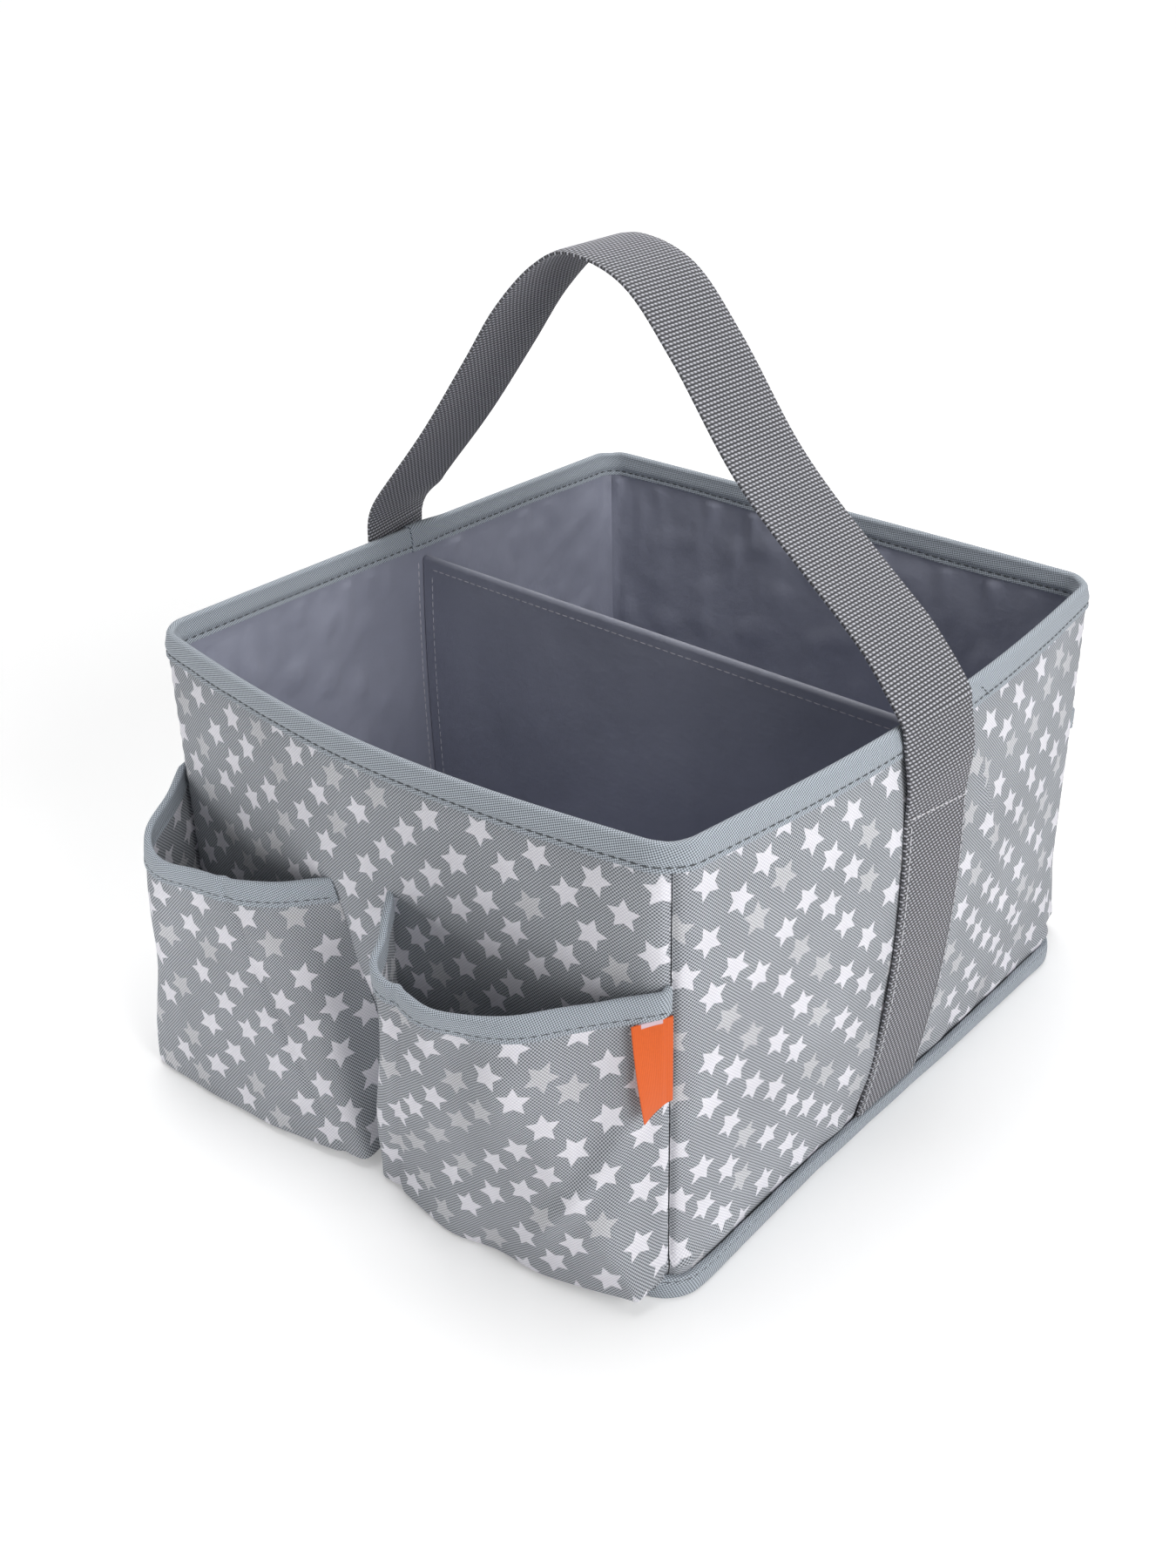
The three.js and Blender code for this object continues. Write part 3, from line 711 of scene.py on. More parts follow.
# tape folded over the top edge of all four walls
def makeRimTape():
    stations, corners = aroundBox(rim["joinSide"], rim["joinRun"])
    up = np.linspace(rim["outerFoot"], rim["shoulder"], rim["legRows"])
    down = np.linspace(rim["shoulder"], rim["innerFoot"], rim["legRows"])
    turn = np.linspace(0, np.pi, rim["archRows"])[1:-1]

    def inward(z, foot):
        dent = rim["dent"] * hump(z, foot + rim["stitchRise"], rim["dentWidth"])
        return dent + rim["lean"] * smooth(z, foot + rim["leanFrom"], rim["shoulder"] + rim["leanPast"])

    outer = rim["outer"] + inward(up, rim["outerFoot"])
    inner = rim["inner"] - inward(down, rim["innerFoot"])
    middle = (outer[-1] + inner[0]) / 2
    radius = (inner[0] - outer[-1]) / 2
    depth = np.concatenate([outer, middle - radius * np.cos(turn), inner])
    z = np.concatenate([up, rim["shoulder"] + radius * np.sin(turn), down])
    low = smooth(-z, -rim["shoulder"], -rim["innerFoot"])[:, None]
    facingOut = np.concatenate([up * 0 - 1, -np.cos(turn), up * 0 + 1])[:, None]
    facingUp = np.concatenate([up * 0, np.sin(turn), up * 0])[:, None]
    joinFar = corners[list(sides).index(rim["joinSide"])] + halfRun(sides[rim["joinSide"]]) + rim["joinRun"]

    # the tape wanders a little, is pinched at the corners and laps over its own end at the join
    def wobble(far):
        wave = rim["wave"] * ripple(far, far * 0, rim["waveSpan"], 5)[None, :]
        swell = rim["swell"] * abs(ripple(far, far * 0, rim["swellSpan"], 6))
        lap = smooth(far, joinFar - rim["joinLong"], joinFar - rim["joinFlat"])
        lap = rim["joinStep"] * (far < joinFar) * lap
        return facingOut * (lap + swell * low), wave * low + facingUp * (lap - cornerPinch(far, corners, rim))

    spots = ringSpots(stations, depth, z, wobble)
    uv = ringUv(stations, corners, runLength(depth, z))
    makeSheet("rimTape", spots, uv, rim["thick"], tape, "twill_tape", "rim_binding", ring=True)
    row = int(np.argmin(abs(up - rim["outerFoot"] - rim["stitchRise"])))
    stitchRing("rim", spots[row], 1, rim["thread"])
    stitchRing("rim", spots[-1 - row], -1, rim["thread"])
    end = rim["end"]   # a short slanting row beside the strap
    slant = np.linspace(0, 1, 12)
    path = wallSpots(sides["right"], end["run"] + end["long"] * slant, rim["outer"] - end["clear"],
                     rim["shoulder"] - end["drop"] - end["tall"] * slant)
    stitchAlong("rim", path, (1, 0, 0), end["scale"], rise=0)


makeRimTape()

welt = dict(
    middle=-0.0021, half=0.0018, height=0.0048, halfHeight=0.0046, points=56, girth=0.022,
    bulgePower=0.42, tallPower=0.75, stitchHeight=0.0076, dent=0.0007, dentWidth=0.0005,
    wave=0.0006, waveSpan=0.09, lift=0.4, liftMarks=(0.003, 0.008),
    pinch=0.0012, pinchReach=0.009,
)


# padded seam round the foot, with a sewn groove just under its top
def makeWelt():
    stations, corners = aroundBox()
    turn = np.linspace(-np.pi, np.pi, welt["points"], endpoint=False)
    bulge = np.sign(np.cos(turn)) * abs(np.cos(turn)) ** welt["bulgePower"]
    tall = np.sign(np.sin(turn)) * abs(np.sin(turn)) ** welt["tallPower"]
    z = welt["height"] + welt["halfHeight"] * tall
    dent = welt["dent"] * hump(z, welt["stitchHeight"], welt["dentWidth"]) * (bulge > 0)
    depth = welt["middle"] - welt["half"] * bulge + dent

    def wobble(far):
        swell = welt["wave"] * ripple(far, far * 0, welt["waveSpan"], 9)[None, :]
        lift = welt["lift"] * swell * smooth(z, *welt["liftMarks"])[:, None]
        return cornerPinch(far, corners, welt) - abs(swell), lift

    spots = pulled(ringSpots(stations, depth, z, wobble))
    across = np.append(runLength(depth, z), welt["girth"])
    piece = layCloth("footWelt", spots, ringUv(stations, corners, across), ring=True, tube=True)
    settle(piece, tape, "twill_tape", "base_welt")
    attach(piece, "caddy")
    outside = np.where(bulge > 0)[0]
    row = outside[np.argmin(abs(z[outside] - welt["stitchHeight"]))]
    stitchRing("welt", spots[row])


makeWelt()
print("rim tape and foot welt wrapped")


# a pocket's outline at one level: its corner beside the box's corner, and the one beside the pleat
def outline(lead, depth, bend, pleatLead, pleatDepth, pleatBend):
    return {"lead": lead, "depth": depth, "bend": bend,
            "pleatLead": pleatLead, "pleatDepth": pleatDepth, "pleatBend": pleatBend}


pocketCut = {
    "front_right_pocket": {
        "side": "front", "hand": 1, "rim": 0.127, "dip": 0.014, "toe": 0.001, "seed": 61, "belly": 0.0066,
        "fold": {"start": (0.062, 0.074), "end": (0.020, 0.010), "width": 0.0046, "rise": 0.0026,
                 "marks": (-0.1, 0.3, 0.6, 1.1)},
        "floor": outline(0.0, 0.0125, 0.002, 0.006, 0.028, 0.005),
        "mouth": outline(0.048, 0.042, 0.022, 0.034, 0.043, 0.012),
    },
    "front_left_pocket": {
        "side": "front", "hand": -1, "rim": 0.119, "dip": 0.014, "toe": 0.001, "seed": 62, "belly": 0.0034,
        "floor": outline(0.009, 0.038, 0.003, -0.003, 0.027, 0.005),
        "mouth": outline(0.024, 0.041, 0.020, 0.044, 0.028, 0.016),
    },
    "back_left_pocket": {
        "side": "back", "hand": 1, "rim": 0.120, "dip": 0.003, "toe": 0.008, "seed": 63, "belly": 0.001,
        "floor": outline(0.004, 0.020, 0.006, 0.005, 0.017, 0.008),
        "mouth": outline(0.020, 0.015, 0.010, 0.016, 0.015, 0.009),
    },
}
pocketCut["back_right_pocket"] = dict(pocketCut["back_left_pocket"], hand=-1, seed=64)

pocket = dict(
    outerAlong=box["width"] / 2 - box["corner"] * (1 - math.sin(math.pi / 4)), innerAlong=0.00125,
    floorHeight=0.0102, wallGap=0.0005, cols=130, rows=64, fine=600, thick=0.0008,
    slack=0.0011, slackSpan=0.05, slackEdge=0.03, drape=0.0007, drapeSpan=0.03,
    drapeTall=0.25, drapeEdge=0.02, drapeFoot=0.05,
    crease=0.0011, creasePlace=0.008, creaseLean=0.010, creaseWidth=0.0022,
    tuck=0.0009, tuckRows=7, tuckLong=1.5, floorRows=14, floorSag=0.0005, floorLift=0.0003,
    band=0.008, sideShare=0.9, frontShare=0.45, printShift=0.23, floorShift=0.31,
)


# a rounded corner of an outline, from the leg to the wall to the leg along the front
def roundCorner(wallEnd, corner, frontEnd, size):
    toWall, toFront = wallEnd - corner, frontEnd - corner
    first = min(size / np.linalg.norm(toWall), pocket["sideShare"])
    second = min(size / np.linalg.norm(toFront), pocket["frontShare"])
    start, end = corner + toWall * first, corner + toFront * second
    t = np.linspace(0, 1, 12)[:, None]
    return start * (1 - t) ** 2 + corner * 2 * t * (1 - t) + end * t ** 2


def pocketOutline(cut, level):
    size = {key: cut["floor"][key] * (1 - level) + cut["mouth"][key] * level for key in cut["floor"]}
    outer = np.array([pocket["outerAlong"], 0.0])
    inner = np.array([pocket["innerAlong"], 0.0])
    sunk = np.array([0, -box["corner"]])
    outerCorner = outer + (-size["lead"], size["depth"])
    innerCorner = inner + (size["pleatLead"], size["pleatDepth"])
    first = roundCorner(outer, outerCorner, innerCorner, size["bend"])
    last = roundCorner(inner, innerCorner, outerCorner, size["pleatBend"])
    share = np.linspace(0, 1, 40)[1:-1, None]
    front = last[-1] * (1 - share) + first[-1] * share
    front[:, 1] += cut["belly"] * (1 - level) * np.sin(np.pi * share[:, 0])
    return np.concatenate([[inner + sunk, inner], last, front, first[::-1], [outer, outer + sunk]])


def pocketHeight(cut, level, out):
    floorReach = max(cut["floor"]["depth"], cut["floor"]["pleatDepth"])
    mouthReach = max(cut["mouth"]["depth"], cut["mouth"]["pleatDepth"])
    floor = pocket["floorHeight"] - (pocket["floorHeight"] - cut["toe"]) * out / floorReach
    mouth = cut["rim"] - cut["dip"] * out / mouthReach
    return floor * (1 - level) + mouth * level


# the front of a pocket, level by level, cut off where it meets the wall
def pocketFace(cut, levels):
    side = sides[cut["side"]]
    rows, lengths = [], []
    for level in levels:
        line = resample(pocketOutline(cut, level), count=pocket["fine"])[0]
        z = pocketHeight(cut, level, line[:, 1])
        past = np.maximum(line[:, 0] - side["half"] + box["corner"], 0)
        roundOff = np.sqrt(np.maximum(box["corner"] ** 2 - past ** 2, 0)) - box["corner"]
        wall = bowAt(side, z) * bowShare(side, line[:, 0]) + roundOff + pocket["wallGap"]
        free = np.where(line[:, 1] > wall)[0]
        kept = np.column_stack([line, z])[free[0]:free[-1] + 1]
        kept = resample(kept, count=pocket["cols"])[0]
        if cut["hand"] < 0:
            kept = kept[::-1] * (-1, 1, 1)
        rows.append(pulled(sideSpots(side, kept[:, 0], side["reach"] + kept[:, 1], kept[:, 2])))
        lengths.append(np.linalg.norm(np.diff(kept, axis=0), axis=1).sum())
    return np.array(rows), np.array(lengths)[:, None]


# slack, folds and the sharp crease beside the pleat, pushed out along the face's normals
def slackFace(cut, levels):
    spots, lengths = pocketFace(cut, levels)
    levels = levels[:, None]
    share = np.linspace(0, 1, pocket["cols"])[None, :]
    u = (share - 0.5) * lengths
    v = levels * (cut["rim"] - pocket["floorHeight"])
    edge = np.minimum(share, 1 - share) * lengths
    slack = ripple(u, v, pocket["slackSpan"], cut["seed"]) * smooth(edge, 0, pocket["slackEdge"])
    drape = ripple(u, v * pocket["drapeTall"], pocket["drapeSpan"], cut["seed"] + 9)
    drape = drape * smooth(edge, 0, pocket["drapeEdge"]) * smooth(v, 0, pocket["drapeFoot"])
    push = pocket["slack"] * slack + pocket["drape"] * drape
    if cut["side"] == "front":
        fromPleat = (share if cut["hand"] > 0 else 1 - share) * lengths
        pleat = np.hypot(cut["floor"]["pleatLead"], cut["floor"]["pleatDepth"])
        place = pleat + pocket["creasePlace"] + pocket["creaseLean"] * levels
        push = push - pocket["crease"] * hump(fromPleat, place, pocket["creaseWidth"])
    if "fold" in cut:   # one slanting fold, drawn down from the tag
        fold = cut["fold"]
        start, end = np.array(fold["start"]), np.array(fold["end"])
        long = np.linalg.norm(end - start)
        heading = (end - start) / long
        du, dv = u - start[0], v - start[1]
        far = (du * heading[0] + dv * heading[1]) / long
        beside = du * heading[1] - dv * heading[0]
        push = push + fold["rise"] * hump(beside, 0, fold["width"]) * within(far, fold["marks"])
    normals = unit(np.cross(np.gradient(spots, axis=1), np.gradient(spots, axis=0)))
    return spots + normals * push[..., None], normals, np.stack([u, np.broadcast_to(v, u.shape)], -1)


def makePocket(name):
    cut = pocketCut[name]
    side = sides[cut["side"]]
    tall = cut["rim"] - pocket["floorHeight"]
    tuck = pocket["tuck"]
    spots, normals, uv = slackFace(cut, np.linspace(tuck / tall, 1, pocket["rows"]))
    level = unit(normals[0] * (1, 1, 0))
    under = []
    for turn in np.linspace(np.pi / 2, 0, pocket["tuckRows"])[:-1]:
        bend = level * (math.cos(turn) - 1) - np.array([0, 0, math.sin(turn)])
        under.append(spots[0] + bend * tuck)
    spots = np.concatenate([np.array(under), spots])
    drop = np.linspace(-pocket["tuckLong"], 0, pocket["tuckRows"])[:-1] * tuck
    uv = np.concatenate([np.stack([uv[0] + (0, d) for d in drop]), uv]) + pocket["printShift"] * cut["seed"]
    piece = layCloth(name.replace("_pocket", "PocketCloth").replace("_", "-"), spots, uv)
    thicken(piece, pocket["thick"])

    # the floor runs from the wall to the tucked edge of the front
    edge = spots[0]
    edgeAlong = edge[:, :2] @ np.array(side["tangent"])
    reach = edge[:, :2] @ np.array(side["normal"]) - side["reach"]
    ends = sorted((cut["hand"] * pocket["innerAlong"], cut["hand"] * pocket["outerAlong"]))
    wallEdge = pulled(sideSpots(side, np.clip(edgeAlong, *ends), side["reach"] + pocket["wallGap"],
                                pocket["floorHeight"] + pocket["floorLift"]))
    k = np.linspace(0, 1, pocket["floorRows"])[:, None]
    floor = wallEdge * (1 - k[..., None]) + edge * k[..., None]
    floor[..., 2] -= pocket["floorSag"] * np.sin(np.pi * k)
    floorUv = np.stack([np.broadcast_to(edgeAlong, floor.shape[:2]), k * reach], -1)
    floorPiece = layCloth("pocketFloor", floor, floorUv + pocket["floorShift"] * cut["seed"])
    thicken(floorPiece, pocket["thick"])
    pick(piece, floorPiece)
    bpy.ops.object.join()
    settle(piece, starCloth, "printed_cloth", name)
    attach(piece, "caddy")
    makePocketTape(name, cut, tall)


pocketTape = dict(
    rows=14, outer=0.0010, inner=0.0019, arch=9, thick=0.0006, archLong=0.004, stitchRow=3,
    dent=0.00025, dentRows=0.9, clothShift=0.5, thread=0.8,
)


# tape folded over a pocket's mouth, sewn near its lower edge
def makePocketTape(name, cut, tall):
    spots, normals, uv = slackFace(cut, np.linspace(1 - pocket["band"] / tall, 1, pocketTape["rows"]))
    row = pocketTape["stitchRow"]
    dent = pocketTape["dent"] * hump(np.arange(pocketTape["rows"]), row, pocketTape["dentRows"])
    outside = spots + normals * (pocketTape["outer"] - dent)[:, None, None]
    inside = spots - normals * (pocketTape["inner"] - dent)[:, None, None]
    upward = unit(spots[-1] - spots[-2])
    middle = spots[-1] + normals[-1] * (pocketTape["outer"] - pocketTape["inner"]) / 2
    radius = (pocketTape["outer"] + pocketTape["inner"]) / 2
    arch = [middle + (normals[-1] * math.cos(turn) + upward * math.sin(turn)) * radius
            for turn in np.linspace(0, np.pi, pocketTape["arch"])[1:-1]]
    strip = np.concatenate([outside, np.array(arch), inside[::-1]])
    across = np.linspace(0, 2 * pocket["band"] + pocketTape["archLong"], len(strip))
    tapeUv = np.stack(np.meshgrid(uv[-1, :, 0] + pocketTape["clothShift"], across), -1)
    makeSheet(name.replace("_pocket", "PocketTape").replace("_", "-"), strip, tapeUv, pocketTape["thick"],
              tape, "twill_tape", name + "_binding")
    stitchAlong("pockets", outside[row][2:-2], normals[row][2:-2], thread=pocketTape["thread"])


for name in pocketCut:
    makePocket(name)
print("pockets and their tapes sewn")

divider = dict(
    place=0.008, half=0.0019, foot=0.0055, top=0.165, endDepth=0.0042, cols=100, rows=50,
    archRows=11, thick=0.0005, clothShift=0.9, puff=0.0009, puffSpan=0.07, puffTall=0.6,
    puffFull=(0.45, 0.6, 1.2), puffMarks=(0.008, 0.030, 0.150, 0.163), puffEnds=0.08,
    stitchDrop=0.0042, dent=0.0005, dentWidth=0.0008, rise=0.00003,
    wallRows=(-0.0045, 0.0045), wallFoot=0.006, wallDrop=0.002, wallRise=0.0001,
)


# satin folded over the divider's board, from lining to lining
def makeDivider():
    half = divider["half"]
    up = np.linspace(divider["foot"], divider["top"] - half, divider["rows"])
    turn = np.linspace(0, np.pi, divider["archRows"])[1:-1]
    z = np.concatenate([up, up[-1] + half * np.sin(turn), up[::-1]])
    aside = np.concatenate([up * 0 - half, -half * np.cos(turn), up * 0 + half])
    ends = [side["reach"] + bowAt(side, z) * bowShare(side, divider["place"]) - divider["endDepth"]
            for side in (sides["left"], sides["right"])]
    share = np.linspace(0, 1, divider["cols"])
    x = -ends[0][:, None] * (1 - share) + ends[1][:, None] * share
    across = np.broadcast_to(runLength(z, aside)[:, None], x.shape)
    z = np.broadcast_to(z[:, None], x.shape)
    face = np.sign(aside)[:, None]
    puff = fullness(x + 3 * face, z * divider["puffTall"], divider["puffSpan"], 71, *divider["puffFull"])
    puff = divider["puff"] * puff * within(z, divider["puffMarks"])
    puff = puff * smooth(0.5 - abs(share - 0.5), 0, divider["puffEnds"])
    dent = divider["dent"] * hump(divider["top"] - z, divider["stitchDrop"], divider["dentWidth"])
    y = divider["place"] + aside[:, None] + face * (puff - dent)
    spots = np.stack([x, y, z], -1)
    piece = makeSheet("dividerSatin", spots, np.stack([x + divider["clothShift"], across], -1),
                      divider["thick"], satin, "satin_lining", "divider_cover")
    row = int(np.argmin(abs(up - divider["top"] + divider["stitchDrop"])))
    for line, facing in ((spots[row], (0, -1, 0)), (spots[-1 - row], (0, 1, 0))):
        stitchAlong("divider", line[2:-2], facing, rise=divider["rise"])
        for end in (2, -3):
            edge = spots[4:row, end] if facing[1] < 0 else spots[-row:-4, end]
            stitchAlong("divider", edge, facing, rise=divider["rise"])
    heights = np.linspace(divider["foot"] + divider["wallFoot"], divider["top"] - divider["wallDrop"], 60)
    for side in (sides["left"], sides["right"]):
        facing = -np.array(side["normal"] + (0,), float)
        for beside in divider["wallRows"]:
            run = (divider["place"] + beside) * side["tangent"][1]
            path = wallSpots(side, run, lining["depth"] + divider["wallRise"], heights)
            stitchAlong("divider", path, facing, rise=0)


makeDivider()

# the strap's middle line, as in the frame: up the right wall, over the mouth and down the left wall
strap = dict(
    width=0.040, thick=0.0020, ramp=0.030, rampTop=0.1707, lift=0.0011, clear=0.0003,
    foot=0.0093, hingeHeight=0.203, rise=0.112, inset=dict(right=0.022, left=0.0105),
    flexLead=0.010, flexStart=0.003, aside=-0.0055, asideTo=0.222,
    rightArch=[(0.78, 0.17), (0.52, 0.42), (0.285, 0.74), (0.1, 0.94)],
    leftArch=[(0.11, 1), (0.25, 0.94), (0.41, 0.78), (0.56, 0.57), (0.78, 0.27)],
    loose=0.0014, looseHeight=0.159, looseReach=0.011, wander=0.0004, wanderSpan=0.12,
    rightYaw=0.05, rightMarks=(0.138, 0.168, 0.185, 0.215),
    leftYaw=0.22, leftMarks=(0.138, 0.168, 0.178, 0.198),
    rib=0.0015, ribHeight=0.00014, perRib=4, cross=11, span=0.985, ribEdge=(0.9, 1.0),
    core=0.86, coreEdge=(0.8, 0.93), thinEdge=0.5, thinFrom=(0.95, 1.0),
    sewnTo=0.1442, sewnTilt=-0.16, edgeRow=0.0178, edgeThread=1.2, edgeRise=0.00005,
    crossHalf=0.0185, crossScale=0.8, crossThread=1.5, crossRise=0.0002,
)


def strapOut(side, z):
    lift = smooth(z, strap["rampTop"] - strap["ramp"], strap["rampTop"]) * strap["lift"]
    return side["reach"] + bowAt(side, z) + strap["clear"] + lift + strap["thick"] / 2


# a smooth line through points, bending evenly at each of them
def throughPoints(points, steps):
    points = np.array(points)
    padded = np.concatenate([[2 * points[0] - points[1]], points, [2 * points[-1] - points[-2]]])
    line = []
    for a, b, c, d in zip(padded, padded[1:], padded[2:], padded[3:]):
        for t in np.arange(steps) / steps:
            line.append(0.5 * (2 * b + (c - a) * t + (2 * a - 5 * b + 4 * c - d) * t ** 2
                               + (3 * b - a - 3 * c + d) * t ** 3))
    return np.array(line + [points[-1]])


def flexBend(foot, top, heading, start):
    a, b, c, d = foot, foot + (0, start), top - heading * strap["flexLead"], top
    t = np.linspace(0, 1, 24)[1:-1, None]
    return a * (1 - t) ** 3 + b * 3 * t * (1 - t) ** 2 + c * 3 * t ** 2 * (1 - t) + d * t ** 3


def strapLine():
    height, hingeHeight = box["height"], strap["hingeHeight"]
    z = np.linspace(strap["foot"], height, 60)
    loose = strap["loose"] * hump(z, strap["looseHeight"], strap["looseReach"])
    legs, hinges, arch = [], [], []
    for key in ("right", "left"):
        sign = sides[key]["normal"][0]
        legs.append(np.column_stack([sign * (strapOut(sides[key], z) + loose), z]))
        hinge = sign * (strapOut(sides[key], height) - strap["inset"][key])
        hinges.append(np.array([hinge, hingeHeight]))
        arch += [(hinge * span, hingeHeight + strap["rise"] * rise) for span, rise in strap[key + "Arch"]]
    loop = throughPoints([hinges[0], *arch, hinges[1]], 30)
    rightFlex = flexBend(legs[0][-1], loop[0], unit(loop[1] - loop[0]), strap["flexStart"])
    leftFlex = flexBend(legs[1][-1], loop[-1], unit(loop[-2] - loop[-1]), strap["flexLead"])
    line = np.concatenate([legs[0], rightFlex, loop, leftFlex[::-1], legs[1][::-1]])
    shift = strap["aside"] * (1 - smooth(line[:, 1], height, strap["asideTo"])) * (line[:, 0] > 0)
    return np.column_stack([line[:, 0], shift, line[:, 1]])


# one length of webbing with raised ribs across it and firm, rounded edges
def makeStrap():
    line = strapLine()
    long = np.linalg.norm(np.diff(line, axis=0), axis=1).sum()
    line = resample(line, count=int(long / strap["rib"] * strap["perRib"]))[0]
    heading = unit(np.gradient(line, axis=0))
    outward = unit(np.stack([heading[:, 2], heading[:, 0] * 0, -heading[:, 0]], -1))
    far = np.linspace(0, long, len(line))
    half, thin = strap["width"] / 2, strap["thick"] / 2
    share = np.linspace(-1, 1, strap["cross"])
    aside = np.concatenate([share, -share]) * half * strap["span"]
    face = np.concatenate([share * 0 + 1, share * 0 - 1])
    edge = np.concatenate([abs(share), abs(share)])
    bulk = thin * (strap["core"] + (1 - strap["core"]) * smooth(edge, *strap["coreEdge"]))
    bulk = bulk * (1 - strap["thinEdge"] * smooth(edge, *strap["thinFrom"]))
    rib = strap["ribHeight"] * np.cos(2 * np.pi * far / strap["rib"])
    raised = bulk[:, None] + rib * (1 - smooth(edge, *strap["ribEdge"]))[:, None]
    isRight = line[:, 0] > 0
    yaw = np.where(isRight, strap["rightYaw"] * within(line[:, 2], strap["rightMarks"]),
                   strap["leftYaw"] * within(line[:, 2], strap["leftMarks"]))
    swing = aside[:, None] + np.where(isRight, 0, half)
    spots = line + outward * (face[:, None] * raised + swing * yaw)[..., None]
    spots[..., 1] += aside[:, None] + strap["wander"] * ripple(far, far * 0, strap["wanderSpan"], 81)
    u, v = np.meshgrid(np.append(aside, -half) + 0.1, far, indexing="ij")
    piece = layCloth("strapWebbing", spots, np.stack([u, v], -1), tube=True)
    pick(piece)
    bpy.ops.object.mode_set(mode="EDIT")   # close both ends
    bpy.ops.mesh.select_mode(type="EDGE")
    bpy.ops.mesh.select_all(action="DESELECT")
    bpy.ops.mesh.select_non_manifold()
    bpy.ops.mesh.edge_face_add()
    bpy.ops.mesh.select_all(action="SELECT")
    bpy.ops.mesh.normals_make_consistent(inside=False)
    bpy.ops.object.mode_set(mode="OBJECT")
    settle(piece, webbingGrey, "webbing", "strap_sewn_right", "strap_sewn_left", "strap_flex_right",
           "strap_flex_left", "handle_loop")
    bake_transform(piece)
    sewStrap(line, outward)


# both edges are sewn up to the cross seam, which shows as a pale line
def sewStrap(line, outward):
    low = line[:, 2] < strap["sewnTo"]
    surface = line + outward * strap["thick"] / 2
    for isRight in (True, False):
        leg = low & ((line[:, 0] > 0) == isRight)
        for aside in (-strap["edgeRow"], strap["edgeRow"]):
            stitchAlong("strap", surface[leg] + (0, aside, 0), outward[leg], thread=strap["edgeThread"],
                        rise=strap["edgeRise"])
        top = np.where(leg)[0][-1 if isRight else 0]
        reach = np.linspace(-strap["crossHalf"], strap["crossHalf"], 20)[:, None]
        cross = surface[top] + reach * np.array([0, 1.0, strap["sewnTilt"]])
        stitchAlong("cross", cross, outward[top], strap["crossScale"], strap["crossThread"],
                    strap["crossRise"])


makeStrap()
print("strap sewn on")

tag = dict(
    seam=(0.126748, -0.132748), middle=0.1015, height=0.034, reach=0.0140, angle=70.5,
    twist=19.0, gap=0.0006, gapShare=0.35, thick=0.00035, wave=0.00025, rise=0.00045,
    footCurl=0.0025, topCurl=-0.0002, flatShare=0.2, droop=0.0014, droopPower=1.5,
    rows=30, leafCols=22, bendCols=9,
)


# satin ribbon folded at its free end, both ends caught in the corner seam
def makeTag():
    bend = tag["gap"] / 2
    leaf = tag["reach"] - bend
    t = np.linspace(0, 1, tag["leafCols"])
    turn = np.linspace(-np.pi / 2, np.pi / 2, tag["bendCols"])[1:-1]
    opening = bend * smooth(t, 0, tag["gapShare"])
    far = np.concatenate([t * leaf, leaf + bend * np.cos(turn), leaf * t[::-1]])
    aside = np.concatenate([-opening, bend * np.sin(turn), opening[::-1]])
    v, f = np.meshgrid(np.linspace(0, 1, tag["rows"]), far, indexing="ij")
    share = f / tag["reach"]
    free = np.maximum(share - tag["flatShare"], 0) / (1 - tag["flatShare"])
    a = aside + (tag["footCurl"] * (1 - v) + tag["topCurl"] * v) * free ** 2
    a = a + tag["wave"] * np.sin(3 * share + 2 * v) * share
    a = a + tag["rise"] * v * hump(share, tag["flatShare"], tag["flatShare"])
    z = tag["middle"] + (v - 0.5) * tag["height"] - tag["droop"] * share ** tag["droopPower"]
    angle = np.radians(tag["angle"] + tag["twist"] * (0.5 - v))
    x = tag["seam"][0] - np.cos(angle) * f + np.sin(angle) * a
    y = tag["seam"][1] - np.sin(angle) * f - np.cos(angle) * a
    uv = np.stack([np.broadcast_to(runLength(far, aside), f.shape), v * tag["height"]], -1)
    makeSheet("cornerTag", np.stack([x, y, z], -1), uv, tag["thick"], ribbon, "orange_ribbon", "side_tag",
              "tag")


makeTag()
sewRows("rim", "rimStitches", darkThread, "twill_tape")
sewRows("pockets", "pocketStitches", darkThread, "twill_tape")
sewRows("welt", "weltStitches", darkThread, "twill_tape")
sewRows("strap", "strapStitches", greyThread, "webbing")
sewRows("cross", "strapCrossStitches", paleThread, "webbing")
sewRows("divider", "dividerStitches", paleThread, "satin_lining")
print("tag and stitches in place")

# camera at the photograph's place; the long side of the picture is 1800 pixels
shot = dict(
    place=(0.4033, -0.4784, 0.4543), pitch=29.611, azimuth=41.926, roll=-1.204,
    focalPixels=2000, longSide=1800, sensor=36.0,
)


def makeCamera():
    pitch, azimuth, roll = (math.radians(shot[key]) for key in ("pitch", "azimuth", "roll"))
    level = math.cos(pitch)
    back = Vector((math.sin(azimuth) * level, -math.cos(azimuth) * level, math.sin(pitch)))
    right = (-back).cross(Vector((0, 0, 1))).normalized()
    up = right.cross(-back)
    turnedRight = right * math.cos(roll) + up * math.sin(roll)
    turnedUp = up * math.cos(roll) - right * math.sin(roll)
    data = bpy.data.cameras.new("camera")
    data.sensor_width = shot["sensor"]
    data.lens = shot["sensor"] * shot["focalPixels"] / shot["longSide"]
    camera = bpy.data.objects.new("camera", data)
    turn = Matrix((turnedRight, turnedUp, back)).transposed().to_4x4()
    camera.matrix_world = Matrix.Translation(shot["place"]) @ turn
    bpy.context.scene.collection.objects.link(camera)
    bpy.context.scene.camera = camera


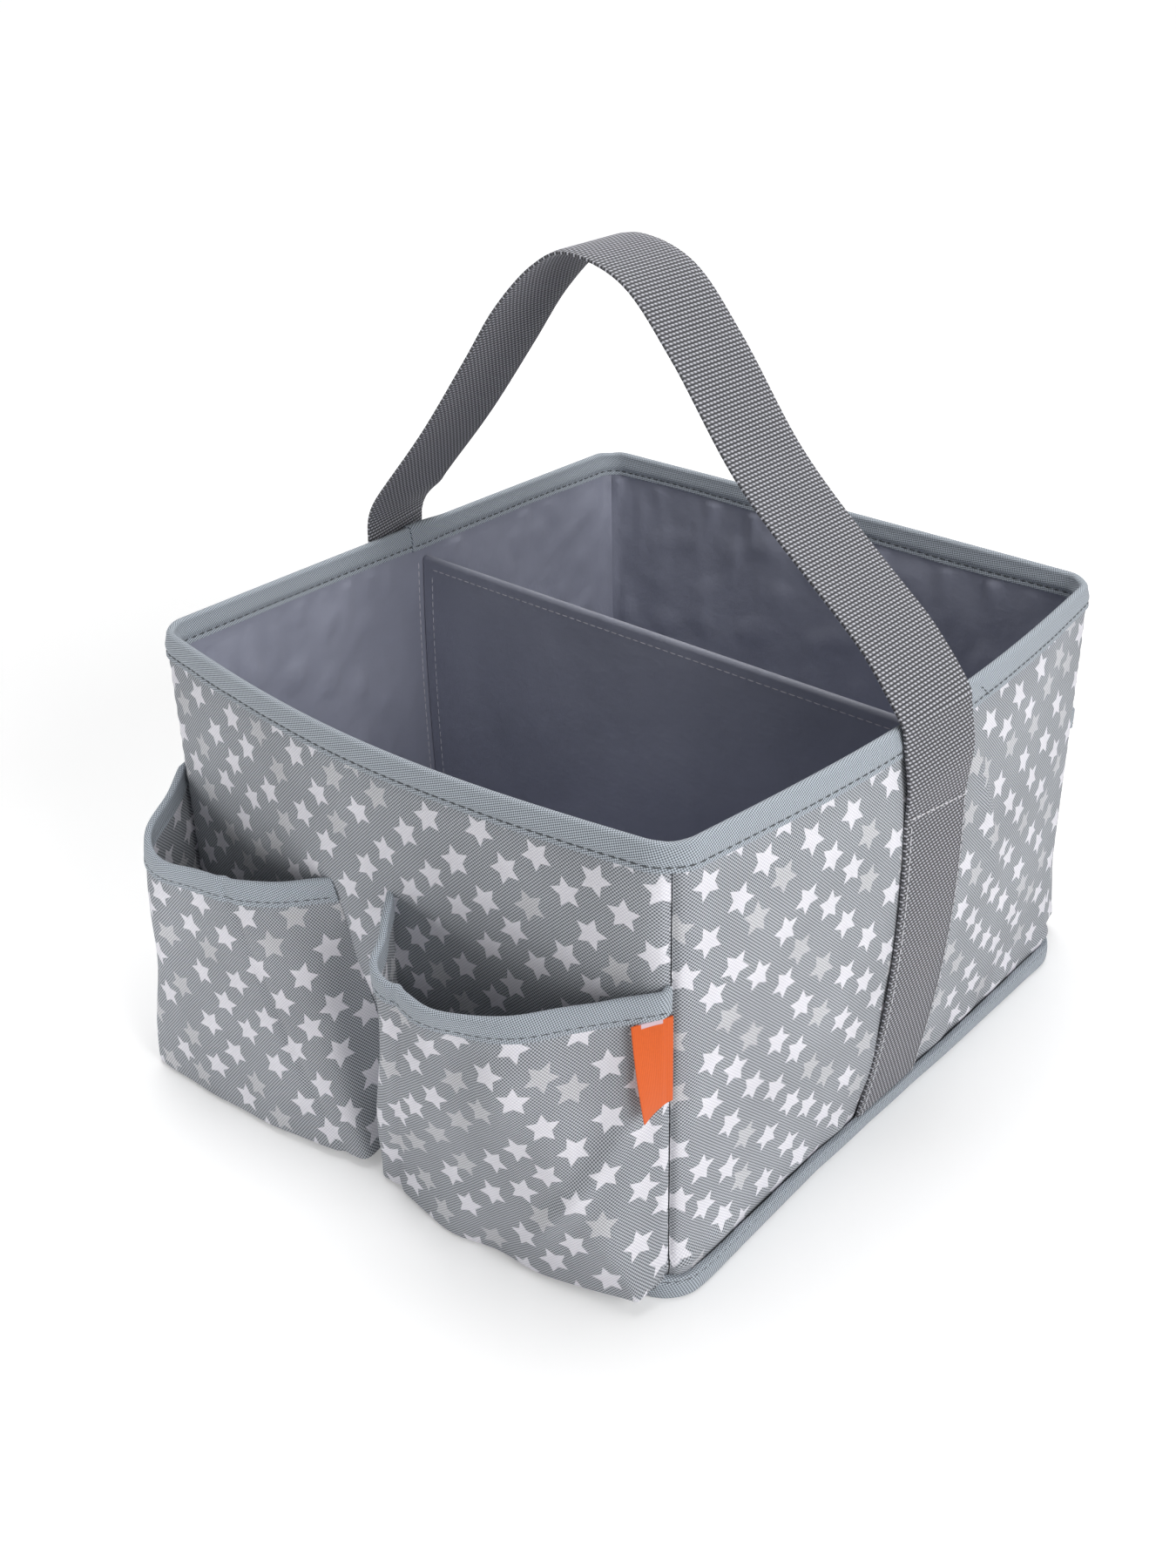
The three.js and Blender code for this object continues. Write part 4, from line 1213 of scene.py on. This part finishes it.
studio = dict(
    floorSize=14.0, floorDrop=0.0003, floorGrey=0.93, floorRough=0.9, lift=0.22, farLift=0.85,
    farFrom=0.4, farTo=2.2, worldLevel=0.16, aim=(0, 0, 0.1),
    lamps=[
        dict(name="keyLamp", place=(1.35, -0.24, 0.72), size=1.0, tall=1.0, power=14.0),
        dict(name="lowLamp", place=(-0.22, -0.44, 0.10), size=0.5, tall=0.13, power=0.42),
        dict(name="topLamp", place=(-0.25, 0.25, 1.7), size=1.5, tall=1.5, power=21.0),
    ],
)


# pale floor: the camera sees it lifted towards white, and it keeps the shadow
def makeFloor():
    bpy.ops.object.select_all(action="DESELECT")
    bpy.ops.mesh.primitive_plane_add(size=studio["floorSize"], location=(0, 0, -studio["floorDrop"]))
    floor = bpy.context.object
    floor.name = "studioFloor"
    material, tree, shader = startMaterial("paleFloor", gloss=0.0)
    shader.inputs["Base Color"].default_value = (studio["floorGrey"],) * 3 + (1,)
    shader.inputs["Roughness"].default_value = studio["floorRough"]
    sight = addNode(tree, "LightPath", out="Is Camera Ray")
    far = vectorNode(tree, "LENGTH", objectPlace(tree), out="Value")
    level = spread(tree, far, studio["farFrom"], studio["farTo"], studio["lift"], studio["farLift"])
    shader.inputs["Emission Color"].default_value = (1, 1, 1, 1)
    feed(tree, shader.inputs["Emission Strength"], times(tree, sight, level))
    floor.data.materials.append(material)


def makeLights():
    for lamp in studio["lamps"]:
        data = bpy.data.lights.new(lamp["name"], "AREA")
        data.shape = "ELLIPSE"
        data.size = lamp["size"]
        data.size_y = lamp["tall"]
        data.energy = lamp["power"]
        light = bpy.data.objects.new(lamp["name"], data)
        light.location = lamp["place"]
        light.visible_camera = False
        way = Vector(studio["aim"]) - Vector(lamp["place"])
        light.rotation_euler = way.to_track_quat("-Z", "Y").to_euler()
        bpy.context.scene.collection.objects.link(light)
    world = bpy.data.worlds.new("studioWorld")
    world.use_nodes = True
    tree = world.node_tree
    backdrop = tree.nodes["Background"]
    backdrop.inputs["Color"].default_value = (1, 1, 1, 1)
    camera, glossy, clear = [addNode(tree, "LightPath", out="Is " + ray + " Ray")
                             for ray in ("Camera", "Glossy", "Transmission")]
    seen = mathNode(tree, "MAXIMUM", camera, mathNode(tree, "MAXIMUM", glossy, clear))
    feed(tree, backdrop.inputs["Strength"], spread(tree, seen, 0.0, 1.0, studio["worldLevel"], 1.0))
    bpy.context.scene.world = world
    bpy.context.scene.view_settings.view_transform = "Standard"


makeCamera()
makeFloor()
makeLights()
print("camera and studio set")
